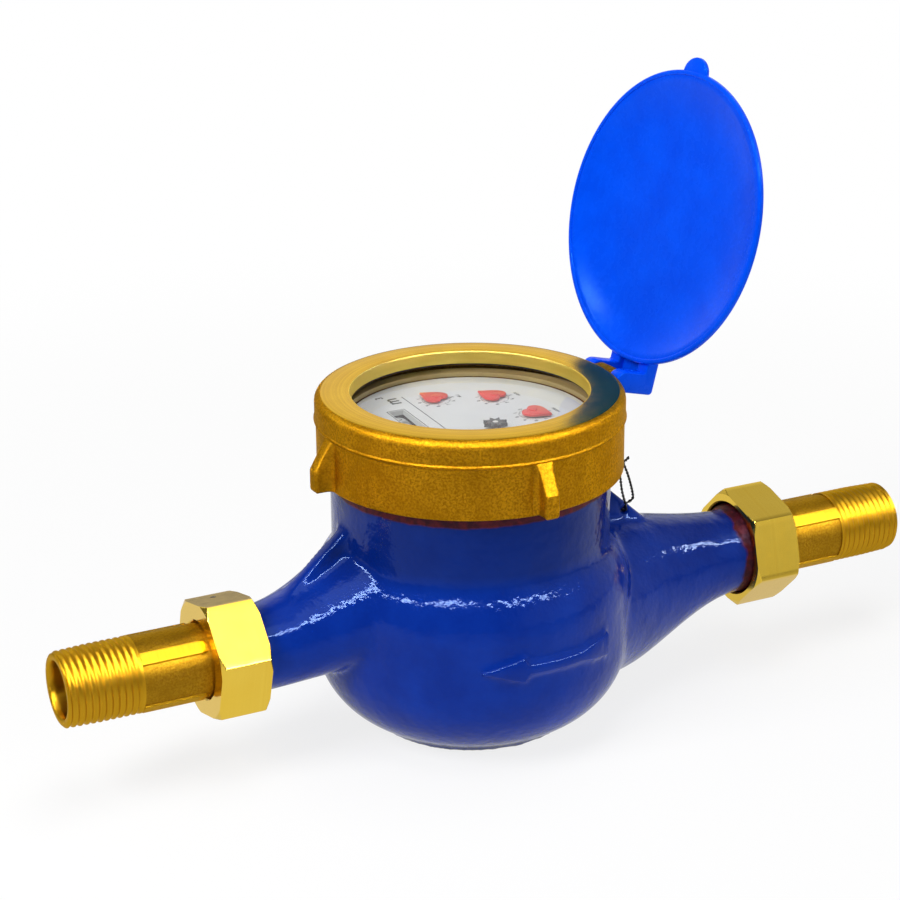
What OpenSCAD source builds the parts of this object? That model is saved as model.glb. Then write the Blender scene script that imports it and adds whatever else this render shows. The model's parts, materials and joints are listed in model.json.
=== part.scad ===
// Multi-jet water meter with an open hinged lid, union tails and a pointer dial.
// Millimetres. Origin: middle of the flat foot on the upright axis. +Z up, +X towards the inlet.

/* [Casing] */
// Height of the pipe axis above the foot
axis_z = 32; // [31:0.5:34]
// Radius of the flat foot
foot_r = 29; // [26:0.5:30]
// Largest radius of the bowl
bowl_r = 44; // [43:0.5:48]
// Height where the bowl starts to turn in to the neck
side_z = 38.6; // [37:0.2:40]
// Radius of the neck under the cover ring
neck_r = 38.5; // [38:0.25:40]
// Wall of the neck
neck_wall = 4.9; // [4.5:0.1:5]
// Wall of the bowl
bowl_wall = 5; // [4:0.25:6]
// Upright axis to the inlet end face
inlet_len = 91.7; // [88:0.5:110]
// Upright axis to the outlet end face
outlet_len = 73.3; // [70:0.5:90]
// Radius of the threaded casing ends
end_r = 13.2; // [12.9:0.1:13.4]
// Radius of the bore in the casing ends
port_r = 7.5; // [6.5:0.25:8]
// Thickness of the top fins
fin_t = 5; // [4:0.25:6]
// Height of the raised flow arrow
arrow_h = 1.4; // [0.6:0.1:1.6]

/* [Cover ring] */
// Height of the underside of the cover ring
ring_z = 73.2; // [72.5:0.25:75]
// Height of the top face of the cover ring
ring_top = 95.3; // [95:0.1:97]
// Wall of the cover ring outside its thread
ring_wall = 3.35; // [3:0.05:4]
// Radius of the mouth of the cover ring
mouth_r = 32.5; // [30:0.5:34]
// Thickness of the lip over the glass
lip_t = 3.7; // [3.2:0.1:4]
// Reach of the lugs past the ring
lug_reach = 5.4; // [4:0.2:6]
// Thickness of the lugs
lug_t = 4; // [3:0.25:5]

/* [Lid] */
// Outer radius of the lid
lid_r = 41.1; // [40:0.1:42]
// Depth of the hollow of the lid
lid_depth = 5; // [3.5:0.25:6]
// Thickness of the lid
lid_t = 1.5; // [1.2:0.1:2]
// Width of the flat edge of the lid
edge_w = 1.4; // [1:0.1:2]
// Angle between the closed and the shown lid
open_deg = 105.4; // [90:0.1:110]
// Direction of the hinge around the upright axis
hinge_deg = 5.8; // [0:0.1:10]
// Distance of the hinge pin from the upright axis
hinge_r = 46; // [45.8:0.1:48]
// Drop of the hinge pin below the top of the cover ring
hinge_drop = 4.7; // [4:0.1:5.2]
// Radius of the hinge pin
pin_r = 1.2; // [0.8:0.1:1.5]
// Half length of the hinge pin
pin_half = 8.5; // [7.5:0.25:10]
// Width of the thumb tab
tab_w = 10.4; // [8:0.2:14]

/* [Glass and seals] */
// Thickness of the cover glass
glass_t = 5.5; // [4.5:0.25:6]
// Thickness of the glass seal
seal_t = 1.5; // [1:0.1:2]
// Thickness of the slip ring
slip_t = 0.5; // [0.4:0.1:0.8]

/* [Unions] */
// Width across the flats of the union nuts
nut_af = 30.5; // [30:0.25:34]
// Turn of the inlet nut about the pipe
inlet_nut_turn = 45.5; // [0:0.5:60]
// Turn of the outlet nut about the pipe
outlet_nut_turn = 16.4; // [0:0.5:60]
// Length of the union nuts
nut_len = 14.4; // [14:0.2:18]
// Casing end to the outer face of the union nuts
nut_out = 7.8; // [7.4:0.2:9]
// Thickness of the union gaskets
gasket_t = 2.3; // [1.5:0.1:2.5]
// Thickness of the collar of the tailpieces
collar_t = 2.4; // [2:0.1:2.6]
// Radius of the stem of the tailpieces
stem_r = 10.15; // [9.6:0.05:10.3]
// Radius of the threaded tail
tail_r = 10.48; // [10.4:0.01:10.5]
// Length of the threaded tail
thread_len = 19; // [12:0.5:22]
// Casing end to the outer end of the tailpieces
tail_out = 47.4; // [42:0.2:60]
// Radius of the bore in the tailpieces
bore_r = 7.8; // [7:0.1:8.2]
// Width of the forged ribs on the tails
rib_w = 3.4; // [2:0.2:5]

/* [Water side] */
// Inner radius of the measuring chamber
chamber_r = 24.5; // [23.5:0.25:25]
// Wall of the measuring chamber
chamber_wall = 2.5; // [2:0.25:3]
// Number of jets in the measuring chamber
jet_count = 8; // [6:1:10]
// Radius of the impeller
vane_r = 22.6; // [18:0.2:23]
// Thickness of the impeller vanes
vane_t = 1.4; // [1:0.1:2]
// Number of impeller vanes
vane_count = 8; // [6:1:10]
// Radius of the impeller shaft
shaft_r = 1.5; // [1.2:0.1:1.6]
// Wall of the strainer basket
basket_t = 1.2; // [0.8:0.1:1.6]
// Number of slots around the strainer basket
slot_count = 24; // [12:2:30]

/* [Register] */
// Tooth size of the gear train
mod_g = 0.5; // [0.49:0.005:0.505]
// Thickness of a gear
gear_t = 1; // [0.8:0.1:1.1]
// Radius of the gear arbors
arbor_r = 0.75; // [0.6:0.05:0.8]
// Radius of the circle of the pointers
pointer_circle = 17.5; // [17.3:0.1:17.8]
// Thickness of the register plates
plate_t = 1.2; // [1:0.1:1.4]
// Thickness of the dial plate
dial_t = 1.2; // [0.8:0.1:1.4]
// Length of a pointer from its arbor to the tip
pointer_len = 5.6; // [4:0.2:6]
// Thickness of the pointers and the star wheel
pointer_t = 0.8; // [0.5:0.1:0.8]
// Radius of the number drums
drum_r = 5.8; // [5.4:0.1:6]
// Pitch of the number drums
drum_pitch = 4.2; // [4:0.1:4.3]
// Radius of the drum shaft
drum_shaft_r = 0.9; // [0.6:0.1:1.1]

/* [Seal wire] */
// Thickness of the seal wire
wire_d = 0.9; // [0.6:0.1:1]

/* [Hidden] */
$fn = 96;

gap = 0.3;
run_gap = 0.08;
bowl_round = 24;
shoulder_round = 18;
neck_bore = neck_r - neck_wall;
seat_r = neck_bore - 0.35;
part_z = axis_z - 4;
part_t = 4;
part_bore = neck_bore - 2.6;
hall_r = bowl_r - bowl_wall;
hall_top = side_z + 5.4;

ring_bore = neck_r + 0.15;
ring_r = ring_bore + ring_wall;
ring_up_r = ring_r + 0.3;
bead_z = ring_top - 7.3;
lip_z = ring_top - lip_t;
glass_top = lip_z - slip_t;
glass_z = glass_top - glass_t;
neck_top = glass_z - seal_t;
glass_r = neck_r - 0.3;

hinge_z = ring_top - hinge_drop;
rim_z = ring_top + gap;
flap_z = rim_z + 5.4;
flap_in = lid_r - 3.9;
ear_in = 4.2;
ear_round = 3;

chamber_out = chamber_r + chamber_wall;
flange_z = part_z + 1.2;
chamber_z = part_z - 16;
chamber_top = flange_z + 14;
box_z = chamber_top;
box_floor = 3;
vane_z = chamber_z + 5;
vane_top = chamber_top - 3.2;
hub_r = 4.4;
pivot_r = 1.2;

dial_z = neck_top - 0.1 - dial_t;
dial_top = dial_z + dial_t;
layer = 1.5;
plate_z = dial_z - 22.8;
first_z = plate_z + plate_t + 0.8;
upper_z = first_z + 6 * layer;
pointer_z = dial_top + 0.4;
drum_z = dial_z - gap - drum_r;
drum_x = -15;
drum_end = 15;
carry_shaft_r = 0.5;
carry_mod = (drum_r + carry_shaft_r + 0.42) / 14;
carry_x = drum_x - 14 * carry_mod;

teeth_hub = 10;
teeth_star = 25;
teeth_star_pinion = 8;
teeth_feed = 32;
teeth_feed_pinion = 10;
teeth_arbor = 30;
teeth_arbor_pinion = 9;
teeth_transfer = 30;
teeth_transfer_pinion = 10;

star_deg = -66;
pointer_deg = [-70, -15, 40, 95];

function polar(r, a) = [r * cos(a), r * sin(a)];
function reach(z1, z2) = mod_g * (z1 + z2) / 2;
function bearing(p, q) = atan2(q[1] - p[1], q[0] - p[0]);
// Third corner of a triangle, on the right of the way from p to q
function corner(p, q, a, b) =
    let (d = norm(q - p), u = (q - p) / d, s = (a * a - b * b + d * d) / (2 * d))
    p + u * s + [u[1], -u[0]] * sqrt(a * a - s * s);
// Turn of a gear that meshes with a gear of z1 teeth turned by a1
function mesh(p, q, z1, z2, a1) =
    let (w = bearing(p, q)) w + 180 + 180 / z2 + (w - a1) * z1 / z2;

star_at = polar(reach(teeth_hub, teeth_star), star_deg);
at_a = polar(pointer_circle, pointer_deg[0]);
at_b = polar(pointer_circle, pointer_deg[1]);
at_c = polar(pointer_circle, pointer_deg[2]);
at_d = polar(pointer_circle, pointer_deg[3]);
feed_at = corner(star_at, at_a, reach(teeth_star_pinion, teeth_feed),
                 reach(teeth_feed_pinion, teeth_arbor));
step_in = reach(teeth_arbor_pinion, teeth_transfer);
step_out = reach(teeth_transfer_pinion, teeth_arbor);
at_t1 = corner(at_a, at_b, step_in, step_out);
at_t2 = corner(at_b, at_c, step_in, step_out);
at_t3 = corner(at_c, at_d, step_in, step_out);

turn_star = mesh([0, 0], star_at, teeth_hub, teeth_star, 0);
turn_feed = mesh(star_at, feed_at, teeth_star_pinion, teeth_feed, 0);
turn_a = mesh(feed_at, at_a, teeth_feed_pinion, teeth_arbor, 0);
turn_t1 = mesh(at_a, at_t1, teeth_arbor_pinion, teeth_transfer, 0);
turn_b = mesh(at_t1, at_b, teeth_transfer_pinion, teeth_arbor, 0);
turn_t2 = mesh(at_b, at_t2, teeth_arbor_pinion, teeth_transfer, 0);
turn_c = mesh(at_t2, at_c, teeth_transfer_pinion, teeth_arbor, 0);
turn_t3 = mesh(at_c, at_t3, teeth_arbor_pinion, teeth_transfer, 0);
turn_d = mesh(at_t3, at_d, teeth_transfer_pinion, teeth_arbor, 0);

function ease(t) = let (s = min(max(t, 0), 1)) s * s * (3 - 2 * s);
function mix(a, b, t) = a + (b - a) * t;

// Closed skin over rows of points, every row with the same number of points
module skin(rows) {
    n = len(rows[0]);
    last = len(rows) - 1;
    sides = [for (j = [0 : last - 1]) for (i = [0 : n - 1]) for (h = [0, 1])
        h == 0 ? [j * n + i, (j + 1) * n + i, (j + 1) * n + (i + 1) % n]
               : [j * n + i, (j + 1) * n + (i + 1) % n, j * n + (i + 1) % n]];
    start = [[for (i = [0 : n - 1]) i]];
    finish = [[for (i = [n - 1 : -1 : 0]) last * n + i]];
    polyhedron(points = [for (row = rows) for (e = row) e], faces = concat(sides, start, finish));
}

// Oval sections along X: place, height of the middle, half width and half height of each
module loft(s, n) {
    skin([for (e = s) [for (i = [0 : n - 1])
        [e[0], e[2] * cos(360 * i / n), e[1] + e[3] * sin(360 * i / n)]]]);
}

// Pipe along X: from x0 to x1 with an outer and an inner radius
module pipe(x0, x1, ro, ri) {
    translate([x0, 0, axis_z])
        rotate([0, 90, 0])
            difference() {
                cylinder(h = x1 - x0, r = ro);
                translate([0, 0, -1])
                    cylinder(h = x1 - x0 + 2, r = ri);
            }
}

module rod_x(x0, x1, r) {
    translate([x0, 0, axis_z])
        rotate([0, 90, 0])
            cylinder(h = x1 - x0, r = r);
}

module rod_y(x, z, y0, y1, r) {
    translate([x, y0, z])
        rotate([-90, 0, 0])
            cylinder(h = y1 - y0, r = r);
}

module disc(z, h, ro, ri) {
    translate([0, 0, z])
        difference() {
            cylinder(h = h, r = ro);
            translate([0, 0, -1])
                cylinder(h = h + 2, r = ri);
        }
}

module post(p, z, h, r) {
    translate([p[0], p[1], z])
        cylinder(h = h, r = r);
}

module teeth(z, m, turn) {
    r = m * z / 2;
    half = 180 / PI * (PI * m / 4 - 0.06) / r;
    polygon([for (i = [0 : z - 1]) for (e = [[-1.25, 1.4], [0.8, 0.55], [0.8, -0.55], [-1.25, -1.4]])
        polar(r + e[0] * m, turn + 360 * i / z - half * e[1])]);
}

module gear(p, level, z, turn) {
    translate([p[0], p[1], first_z + level * layer])
        linear_extrude(gear_t)
            teeth(z, mod_g, turn);
}

module arbor(p, top) {
    post(p, plate_z + 0.1, top - plate_z - 0.1, arbor_r);
}

module bowl_form() {
    rotate_extrude()
        polygon(concat(
            [[0, 0], [foot_r - 0.6, 0], [foot_r, 0.6], [foot_r, 1.6]],
            [for (a = [-66 : 6 : 0]) [bowl_r - bowl_round + bowl_round * cos(a),
                                      bowl_round + bowl_round * sin(a)]],
            [for (a = [0 : 5 : 40]) [bowl_r - shoulder_round + shoulder_round * cos(a),
                                     side_z + shoulder_round * sin(a)]],
            [[neck_r + 0.7, side_z + 12.6], [neck_r + 0.2, side_z + 13.4], [neck_r, side_z + 14.6],
             [neck_r, neck_top - 0.8],
             [neck_r - 0.8, neck_top], [0, neck_top]]));
}

module bowl_space() {
    r = bowl_round - bowl_wall;
    rotate_extrude()
        polygon(concat(
            [[0, bowl_round - r * sin(75)]],
            [for (a = [-75 : 15 : 0]) [bowl_r - bowl_round + r * cos(a), bowl_round + r * sin(a)]],
            [[part_bore, bowl_round], [part_bore, part_z], [hall_r, part_z], [hall_r, hall_top - 3],
             [neck_bore, hall_top], [neck_bore, neck_top + 1], [0, neck_top + 1]]));
}

module inlet_form() {
    x0 = inlet_len + nut_out - nut_len - 0.4;
    loft([for (i = [0 : 14]) let (t = 1 - i / 14, g = ease(t / 0.8))
        [mix(x0, 30, t), mix(axis_z - 0.8, 26.6, g), mix(end_r - 0.9, 31, t * t),
         mix(end_r - 0.9, 22.5, g)]], 40);
    rod_x(x0 - 2, inlet_len, end_r - 1.8);
    rod_x(x0 + 0.6, inlet_len, end_r);
}

module outlet_form() {
    x0 = 0.4 + nut_len - nut_out - outlet_len;
    loft([for (i = [0 : 14])
        let (t = i / 14, top = mix(axis_z + end_r - 1.4, axis_z + 30.3, pow(t, 1.6)),
             low = mix(axis_z - end_r + 1.4, axis_z - 8.5, ease(t)))
        [mix(x0, -29, t), (top + low) / 2, mix(end_r - 1.4, 26.5, pow(t, 1.8)), (top - low) / 2]], 40);
    rod_x(-outlet_len, x0 + 2, end_r - 1.8);
    rod_x(-outlet_len, x0 - 0.6, end_r);
}

module fin(side, z_top, x_end, z_end) {
    translate([0, fin_t / 2, 0])
        rotate([90, 0, 0])
            linear_extrude(fin_t)
                polygon([[side * (neck_r - 2), z_top], [side * neck_r, z_top], [side * x_end, z_end],
                         [side * (x_end - 4), axis_z], [side * (neck_r - 2), axis_z + 8]]);
}

module flow_arrow() {
    intersection() {
        rotate([0, 0, 2.5])
            translate([0, -bowl_r + 12, axis_z - 1])
                rotate([90, 0, 0])
                    linear_extrude(20)
                        polygon([[-19.6, 0], [-8.8, 3.3], [-7.4, 1.3], [9, 1.3], [13.5, 2.3], [19.6, 3.2],
                                 [17.6, 0], [19.6, -3.2], [13.5, -2.3], [9, -1.3], [-7.4, -1.3],
                                 [-8.8, -3.3]]);
        disc(axis_z - 6, 12, bowl_r + arrow_h, bowl_r - 2);
    }
}

module body() {
    color([0.1, 0.2, 0.62])
        difference() {
            union() {
                bowl_form();
                inlet_form();
                outlet_form();
                fin(1, neck_top - 21.2, 55, axis_z + 16);
                fin(-1, neck_top - 22.2, 59.5, axis_z + 11);
                flow_arrow();
                mirror([0, 1, 0])
                    flow_arrow();
            }
            bowl_space();
            rod_x(inlet_len - 24, inlet_len + 1, port_r);
            rod_x(-outlet_len - 1, 16 - outlet_len, port_r);
            loft([for (i = [0 : 6]) let (t = 1 - i / 6, g = ease(t))
                [mix(inlet_len - 22, 35, t), mix(axis_z, 15.5, g), mix(port_r - 0.9, 11, g),
                 mix(port_r - 0.9, 6.8, g)]], 24);
            loft([for (i = [0 : 6]) let (t = i / 6, g = ease(t))
                [mix(14 - outlet_len, -34, t), mix(axis_z, axis_z + 4, g), mix(port_r - 0.9, 11, g),
                 mix(port_r - 0.9, 6.5, g)]], 24);
            rod_y(neck_r + 9.5, neck_top - 32.6, -10, 10, 1.3);
        }
}

module lug_form(a) {
    rotate([0, 0, a])
        translate([0, lug_t / 2, 0])
            rotate([90, 0, 0])
                linear_extrude(lug_t)
                    polygon([[ring_bore + 1, ring_z + 0.4], [ring_r + lug_reach, ring_z + 0.4],
                             [ring_r + lug_reach - 0.9, ring_z + 7.8], [ring_r + 0.2, bead_z],
                             [ring_bore + 1, bead_z]]);
}

module cover_ring() {
    color([0.72, 0.55, 0.25])
        difference() {
            union() {
                rotate_extrude()
                    polygon(concat(
                        [[ring_bore, ring_z + 0.6], [ring_bore + 0.6, ring_z], [ring_r - 0.4, ring_z],
                         [ring_r, ring_z + 0.4], [ring_r, bead_z - 0.3], [ring_up_r, bead_z]],
                        [for (a = [0 : 15 : 90]) [ring_up_r - 1.5 + 1.5 * cos(a),
                                                  ring_top - 1.5 + 1.5 * sin(a)]],
                        [[mouth_r + 0.4, ring_top], [mouth_r, ring_top - 0.4], [mouth_r, lip_z],
                         [ring_bore, lip_z]]));
                for (a = [0, 90, 180, 270])
                    lug_form(a);
                rotate([0, 0, hinge_deg]) {
                    rod_y(hinge_r, hinge_z, gap - ear_in, ear_in - gap, ear_round - 0.4);
                    translate([ring_bore + 1.5, gap - ear_in, hinge_z - ear_round + 0.4])
                        cube([hinge_r - ring_bore - 1.5, 2 * (ear_in - gap), 2 * ear_round - 0.8]);
                }
            }
            rotate([0, 0, hinge_deg])
                rod_y(hinge_r, hinge_z, -10, 10, pin_r + 0.02);
            rod_y(ring_r + 2.3, ring_z + 4.6, -lug_t, lug_t, 1.2);
        }
}

module ear_form(y0) {
    difference() {
        union() {
            rod_y(hinge_r, hinge_z, y0, y0 + pin_half - ear_in + 0.1, ear_round);
            translate([hinge_r - ear_round, y0, hinge_z])
                cube([2 * ear_round, pin_half - ear_in + 0.1, flap_z - hinge_z]);
            translate([flap_in, y0, rim_z + lid_t])
                cube([hinge_r + ear_round - flap_in, pin_half - ear_in + 0.1, flap_z - rim_z - lid_t]);
        }
        rod_y(hinge_r, hinge_z, y0 - 1, y0 + pin_half, pin_r + run_gap);
    }
}

module lid() {
    color([0.05, 0.3, 0.9])
        rotate([0, 0, hinge_deg])
            translate([hinge_r, 0, hinge_z])
                rotate([0, open_deg, 0])
                    translate([-hinge_r, 0, -hinge_z]) {
                        rotate_extrude()
                            polygon(concat(
                                [[lid_r - edge_w, rim_z], [lid_r - 0.3, rim_z], [lid_r, rim_z + 0.3]],
                                [for (i = [0 : 12]) let (r = lid_r * (1 - i / 12))
                                    [r, rim_z + lid_t + lid_depth * (1 - pow(r / lid_r, 4))]],
                                [for (i = [0 : 11]) let (r = (lid_r - edge_w) * i / 12)
                                    [r, rim_z + lid_depth * (1 - pow(r / (lid_r - edge_w), 4))]]));
                        translate([flap_in, -pin_half - 0.1, flap_z - 2.2])
                            cube([hinge_r + ear_round - flap_in, 2 * pin_half + 0.2, 2.2]);
                        ear_form(ear_in);
                        ear_form(-pin_half - 0.1);
                        difference() {
                            translate([tab_w / 2 - 3.9 - lid_r, 0, rim_z + 0.2])
                                cylinder(h = lid_t, r = tab_w / 2);
                            translate([0, 0, rim_z - 1])
                                cylinder(h = lid_t + 3, r = lid_r - 0.7);
                        }
                    }
}

module hinge_pin() {
    color([0.85, 0.75, 0.5])
        rotate([0, 0, hinge_deg])
            rod_y(hinge_r, hinge_z, -pin_half, pin_half, pin_r);
}

module cover_glass() {
    color([0.85, 0.93, 0.95, 0.4])
        translate([0, 0, glass_z])
            cylinder(h = glass_t, r = glass_r);
}

module glass_seal() {
    color([0.76, 0.65, 0.45])
        disc(neck_top, seal_t, neck_r - 0.9, neck_bore + 0.2);
}

module slip_ring() {
    color([0.2, 0.2, 0.2])
        disc(glass_top, slip_t, glass_r, mouth_r + 0.4);
}

module union_side(side) {
    if (side > 0)
        translate([inlet_len, 0, 0])
            children();
    else
        translate([-outlet_len, 0, 0])
            mirror([1, 0, 0])
                children();
}

module nut_form(turn) {
    c = nut_af / sqrt(3);
    translate([nut_out - nut_len, 0, axis_z])
        rotate([0, 90, 0])
            difference() {
                intersection() {
                    linear_extrude(nut_len)
                        polygon([for (i = [0 : 5]) polar(c, 60 * i + turn)]);
                    rotate_extrude()
                        polygon([[0, 0], [c - 1.6, 0], [c + 0.2, 1.05], [c + 0.2, nut_len - 1.05],
                                 [c - 1.6, nut_len], [0, nut_len]]);
                }
                translate([0, 0, -1])
                    cylinder(h = nut_len + 2, r = stem_r + 0.5);
                translate([0, 0, -1])
                    cylinder(h = nut_len - nut_out + gasket_t + collar_t + 1, r = end_r + 0.4);
            }
}

module tail_form() {
    face = gasket_t;
    difference() {
        union() {
            rod_x(face, face + collar_t, end_r - 0.2);
            rod_x(face, tail_out - 1, stem_r);
            rod_x(tail_out - thread_len, tail_out, tail_r);
            for (a = [45 : 90 : 315])
                translate([0, 0, axis_z])
                    rotate([a, 0, 0])
                        translate([nut_out + 1.2, -rib_w / 2, 0])
                            cube([tail_out - thread_len - nut_out - 2.8, rib_w, stem_r + 0.7]);
        }
        rod_x(face - 1, tail_out + 1, bore_r);
    }
}

module gasket_form() {
    pipe(0, gasket_t, end_r - 0.2, port_r + 0.4);
}

module inlet_nut() {
    color([0.85, 0.76, 0.5])
        union_side(1)
            nut_form(inlet_nut_turn);
}

module outlet_nut() {
    color([0.85, 0.76, 0.5])
        union_side(-1)
            nut_form(outlet_nut_turn);
}

module inlet_tailpiece() {
    color([0.8, 0.66, 0.35])
        union_side(1)
            tail_form();
}

module outlet_tailpiece() {
    color([0.8, 0.66, 0.35])
        union_side(-1)
            tail_form();
}

module inlet_gasket() {
    color([0.15, 0.15, 0.15])
        union_side(1)
            gasket_form();
}

module outlet_gasket() {
    color([0.15, 0.15, 0.15])
        union_side(-1)
            gasket_form();
}

module seal_wire() {
    lx = ring_r + 2.3;
    lz = ring_z + 4.6;
    fx = neck_r + 9.5;
    fz = neck_top - 32.6;
    key = [[lx + 6.6, 0.6, lz - 11.6], [lx + 4.6, 0.2, lz - 12.3], [lx + 3, 1.2, lz - 9.5],
           [lx + 1, lug_t / 2 + 1.1, lz - 4], [lx + 0.2, lug_t / 2 + 1, lz - 0.6], [lx, 0, lz],
           [lx + 0.2, -lug_t / 2 - 1, lz - 0.6], [lx + 0.7, -lug_t / 2 - 1.1, lz - 6],
           [fx - 2, -fin_t / 2 - 1.2, fz + 8], [fx - 0.5, -fin_t / 2 - 1.2, fz + 2.2],
           [fx - 0.1, -fin_t / 2 - 0.3, fz + 0.3], [fx, 0, fz], [fx + 0.1, fin_t / 2 + 0.3, fz - 0.1],
           [fx + 0.9, fin_t / 2 + 1.2, fz - 0.3], [fx + 3.2, fin_t / 2 + 1.3, fz - 0.8],
           [fx + 5.6, fin_t / 2 + 0.9, fz + 0.2], [fx + 5.6, fin_t / 2 + 0.2, fz + 2.4],
           [fx + 3.4, 2, fz + 9], [lx + 4.4, 1.9, lz - 11.2]];
    n = len(key);
    sub = 4;
    path = [for (i = [0 : n - 2]) for (j = [0 : (i == n - 2 ? sub : sub - 1)])
        let (t = j / sub, a = key[max(i - 1, 0)], b = key[i], c = key[i + 1],
             d = key[min(i + 2, n - 1)])
        0.5 * (2 * b + (c - a) * t + (2 * a - 5 * b + 4 * c - d) * t * t
               + (3 * b - a - 3 * c + d) * t * t * t)];
    m = len(path);
    k = 8;
    ref = [0.93, 0.05, 0.36];
    color([0.12, 0.12, 0.12])
        skin([for (i = [0 : m - 1])
            let (w = path[min(i + 1, m - 1)] - path[max(i - 1, 0)], u = w / norm(w),
                 p = cross(u, ref), q = p / norm(p), s = cross(u, q))
            [for (j = [0 : k - 1])
                path[i] + wire_d / 2 * (q * cos(360 * j / k) + s * sin(360 * j / k))]]);
}

module strainer() {
    ro = part_bore - 0.4;
    z0 = chamber_z - 3.6;
    color([0.85, 0.85, 0.8])
        difference() {
            union() {
                translate([0, 0, z0])
                    cylinder(h = part_z - z0 + 0.1, r = ro);
                translate([0, 0, part_z])
                    cylinder(h = flange_z - part_z, r = seat_r);
            }
            translate([0, 0, z0 + basket_t])
                cylinder(h = 40, r = ro - basket_t);
            for (i = [0 : slot_count - 1])
                rotate([0, 0, 360 * i / slot_count])
                    translate([ro - 3, -1, z0 + 3.4])
                        cube([5, 2, part_z - part_t - z0 - 4.6]);
            for (r = [9, 17, 25])
                for (i = [0 : r - 2])
                    rotate([0, 0, 360 * i / (r - 1)])
                        translate([r, 0, z0 - 1])
                            cylinder(h = 4, r = 1);
        }
}

module measuring_chamber() {
    color([0.9, 0.9, 0.86])
        difference() {
            union() {
                translate([0, 0, chamber_z])
                    cylinder(h = chamber_top - chamber_z, r = chamber_out);
                translate([0, 0, flange_z])
                    cylinder(h = 2.4, r = seat_r);
                translate([0, 0, chamber_z])
                    cylinder(h = 4, r = 5);
            }
            difference() {
                translate([0, 0, chamber_z + 2.2])
                    cylinder(h = 60, r = chamber_r);
                translate([0, 0, chamber_z])
                    cylinder(h = 4, r = 5);
            }
            translate([0, 0, chamber_z - 1])
                cylinder(h = 20, r = pivot_r + 0.02);
            for (i = [0 : jet_count - 1])
                rotate([0, 0, 360 * i / jet_count]) {
                    translate([14, 15, chamber_z + 5])
                        cube([20, 3.6, 6]);
                    translate([14, -18.6, flange_z + 4])
                        cube([20, 3.6, 7]);
                }
        }
}

module pivot_pin() {
    color([0.7, 0.7, 0.72])
        translate([0, 0, chamber_z + 0.2])
            cylinder(h = 9.8, r = pivot_r);
}

module impeller() {
    color([0.2, 0.35, 0.75])
        difference() {
            union() {
                translate([0, 0, vane_z])
                    cylinder(h = vane_top - vane_z, r = hub_r);
                for (i = [0 : vane_count - 1])
                    rotate([0, 0, 360 * i / vane_count])
                        translate([hub_r - 0.6, -vane_t / 2, vane_z + 0.3])
                            cube([vane_r - hub_r + 0.6, vane_t, vane_top - vane_z - 0.6]);
                translate([0, 0, vane_top - 1])
                    cylinder(h = first_z + gear_t - vane_top + 1, r = shaft_r);
                gear([0, 0], 0, teeth_hub, 0);
            }
            translate([0, 0, vane_z - 1])
                cylinder(h = chamber_z + 10.4 - vane_z + 1, r = pivot_r + run_gap);
        }
}

module gear_box() {
    color([0.88, 0.88, 0.84])
        difference() {
            translate([0, 0, box_z])
                cylinder(h = plate_z - box_z, r = seat_r);
            translate([0, 0, box_z + box_floor])
                cylinder(h = 40, r = seat_r - 2);
            translate([0, 0, box_z - 1])
                cylinder(h = box_floor + 2, r = 3.6);
        }
}

module shaft_bush() {
    color([0.75, 0.6, 0.3])
        disc(box_z, box_floor + 1, 3.58, shaft_r + run_gap);
}

module lower_plate() {
    color([0.86, 0.86, 0.82])
        difference() {
            translate([0, 0, plate_z])
                cylinder(h = plate_t, r = seat_r);
            for (p = [star_at, feed_at, at_a, at_b, at_c, at_d, at_t1, at_t2, at_t3])
                post(p, plate_z - 1, plate_t + 2, arbor_r + run_gap);
            translate([0, 0, plate_z - 1])
                cylinder(h = plate_t + 2, r = shaft_r + 0.6);
        }
}

module upper_plate() {
    color([0.86, 0.86, 0.82])
        difference() {
            translate([0, 0, upper_z])
                cylinder(h = plate_t, r = seat_r);
            for (p = [star_at, feed_at, at_a, at_b, at_c, at_d, at_t1, at_t2, at_t3])
                post(p, upper_z - 1, plate_t + 2, arbor_r + run_gap);
            translate([drum_x - drum_r + 0.4, drum_end - 5 * drum_pitch - 0.5, upper_z - 1])
                cube([2 * drum_r - 0.8, 5 * drum_pitch + 1, plate_t + 2]);
        }
}

module plate_spacers() {
    color([0.75, 0.6, 0.3])
        for (a = [0, 120, 240])
            post(polar(seat_r - 2, a), plate_z + plate_t, upper_z - plate_z - plate_t, 1.4);
}

module dial_spacers() {
    color([0.75, 0.6, 0.3])
        for (a = [0, 120, 240])
            post(polar(seat_r - 2, a), upper_z + plate_t, dial_z - upper_z - plate_t, 1.4);
}

module dial_plate() {
    color([0.95, 0.95, 0.92])
        difference() {
            translate([0, 0, dial_z])
                cylinder(h = dial_t, r = seat_r);
            for (p = [star_at, at_a, at_b, at_c, at_d])
                post(p, dial_z - 1, dial_t + 2, arbor_r + 0.35);
            translate([drum_x - 2.2, drum_end - 5 * drum_pitch + 0.2, dial_z - 1])
                cube([4.4, 5 * drum_pitch - 0.4, dial_t + 2]);
        }
}

module star_arbor() {
    color([0.8, 0.8, 0.78]) {
        arbor(star_at, pointer_z + pointer_t);
        gear(star_at, 0, teeth_star, turn_star);
        gear(star_at, 1, teeth_star_pinion, 0);
    }
}

module star_wheel() {
    color([0.06, 0.06, 0.06])
        translate([star_at[0], star_at[1], pointer_z])
            difference() {
                linear_extrude(pointer_t)
                    polygon([for (i = [0 : 15]) polar(i % 2 == 0 ? 3.4 : 1.9, 22.5 * i)]);
                translate([0, 0, -1])
                    cylinder(h = 3, r = arbor_r + 0.02);
            }
}

module feed_arbor() {
    color([0.8, 0.8, 0.78]) {
        arbor(feed_at, upper_z + plate_t);
        gear(feed_at, 1, teeth_feed, turn_feed);
        gear(feed_at, 2, teeth_feed_pinion, 0);
    }
}

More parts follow.
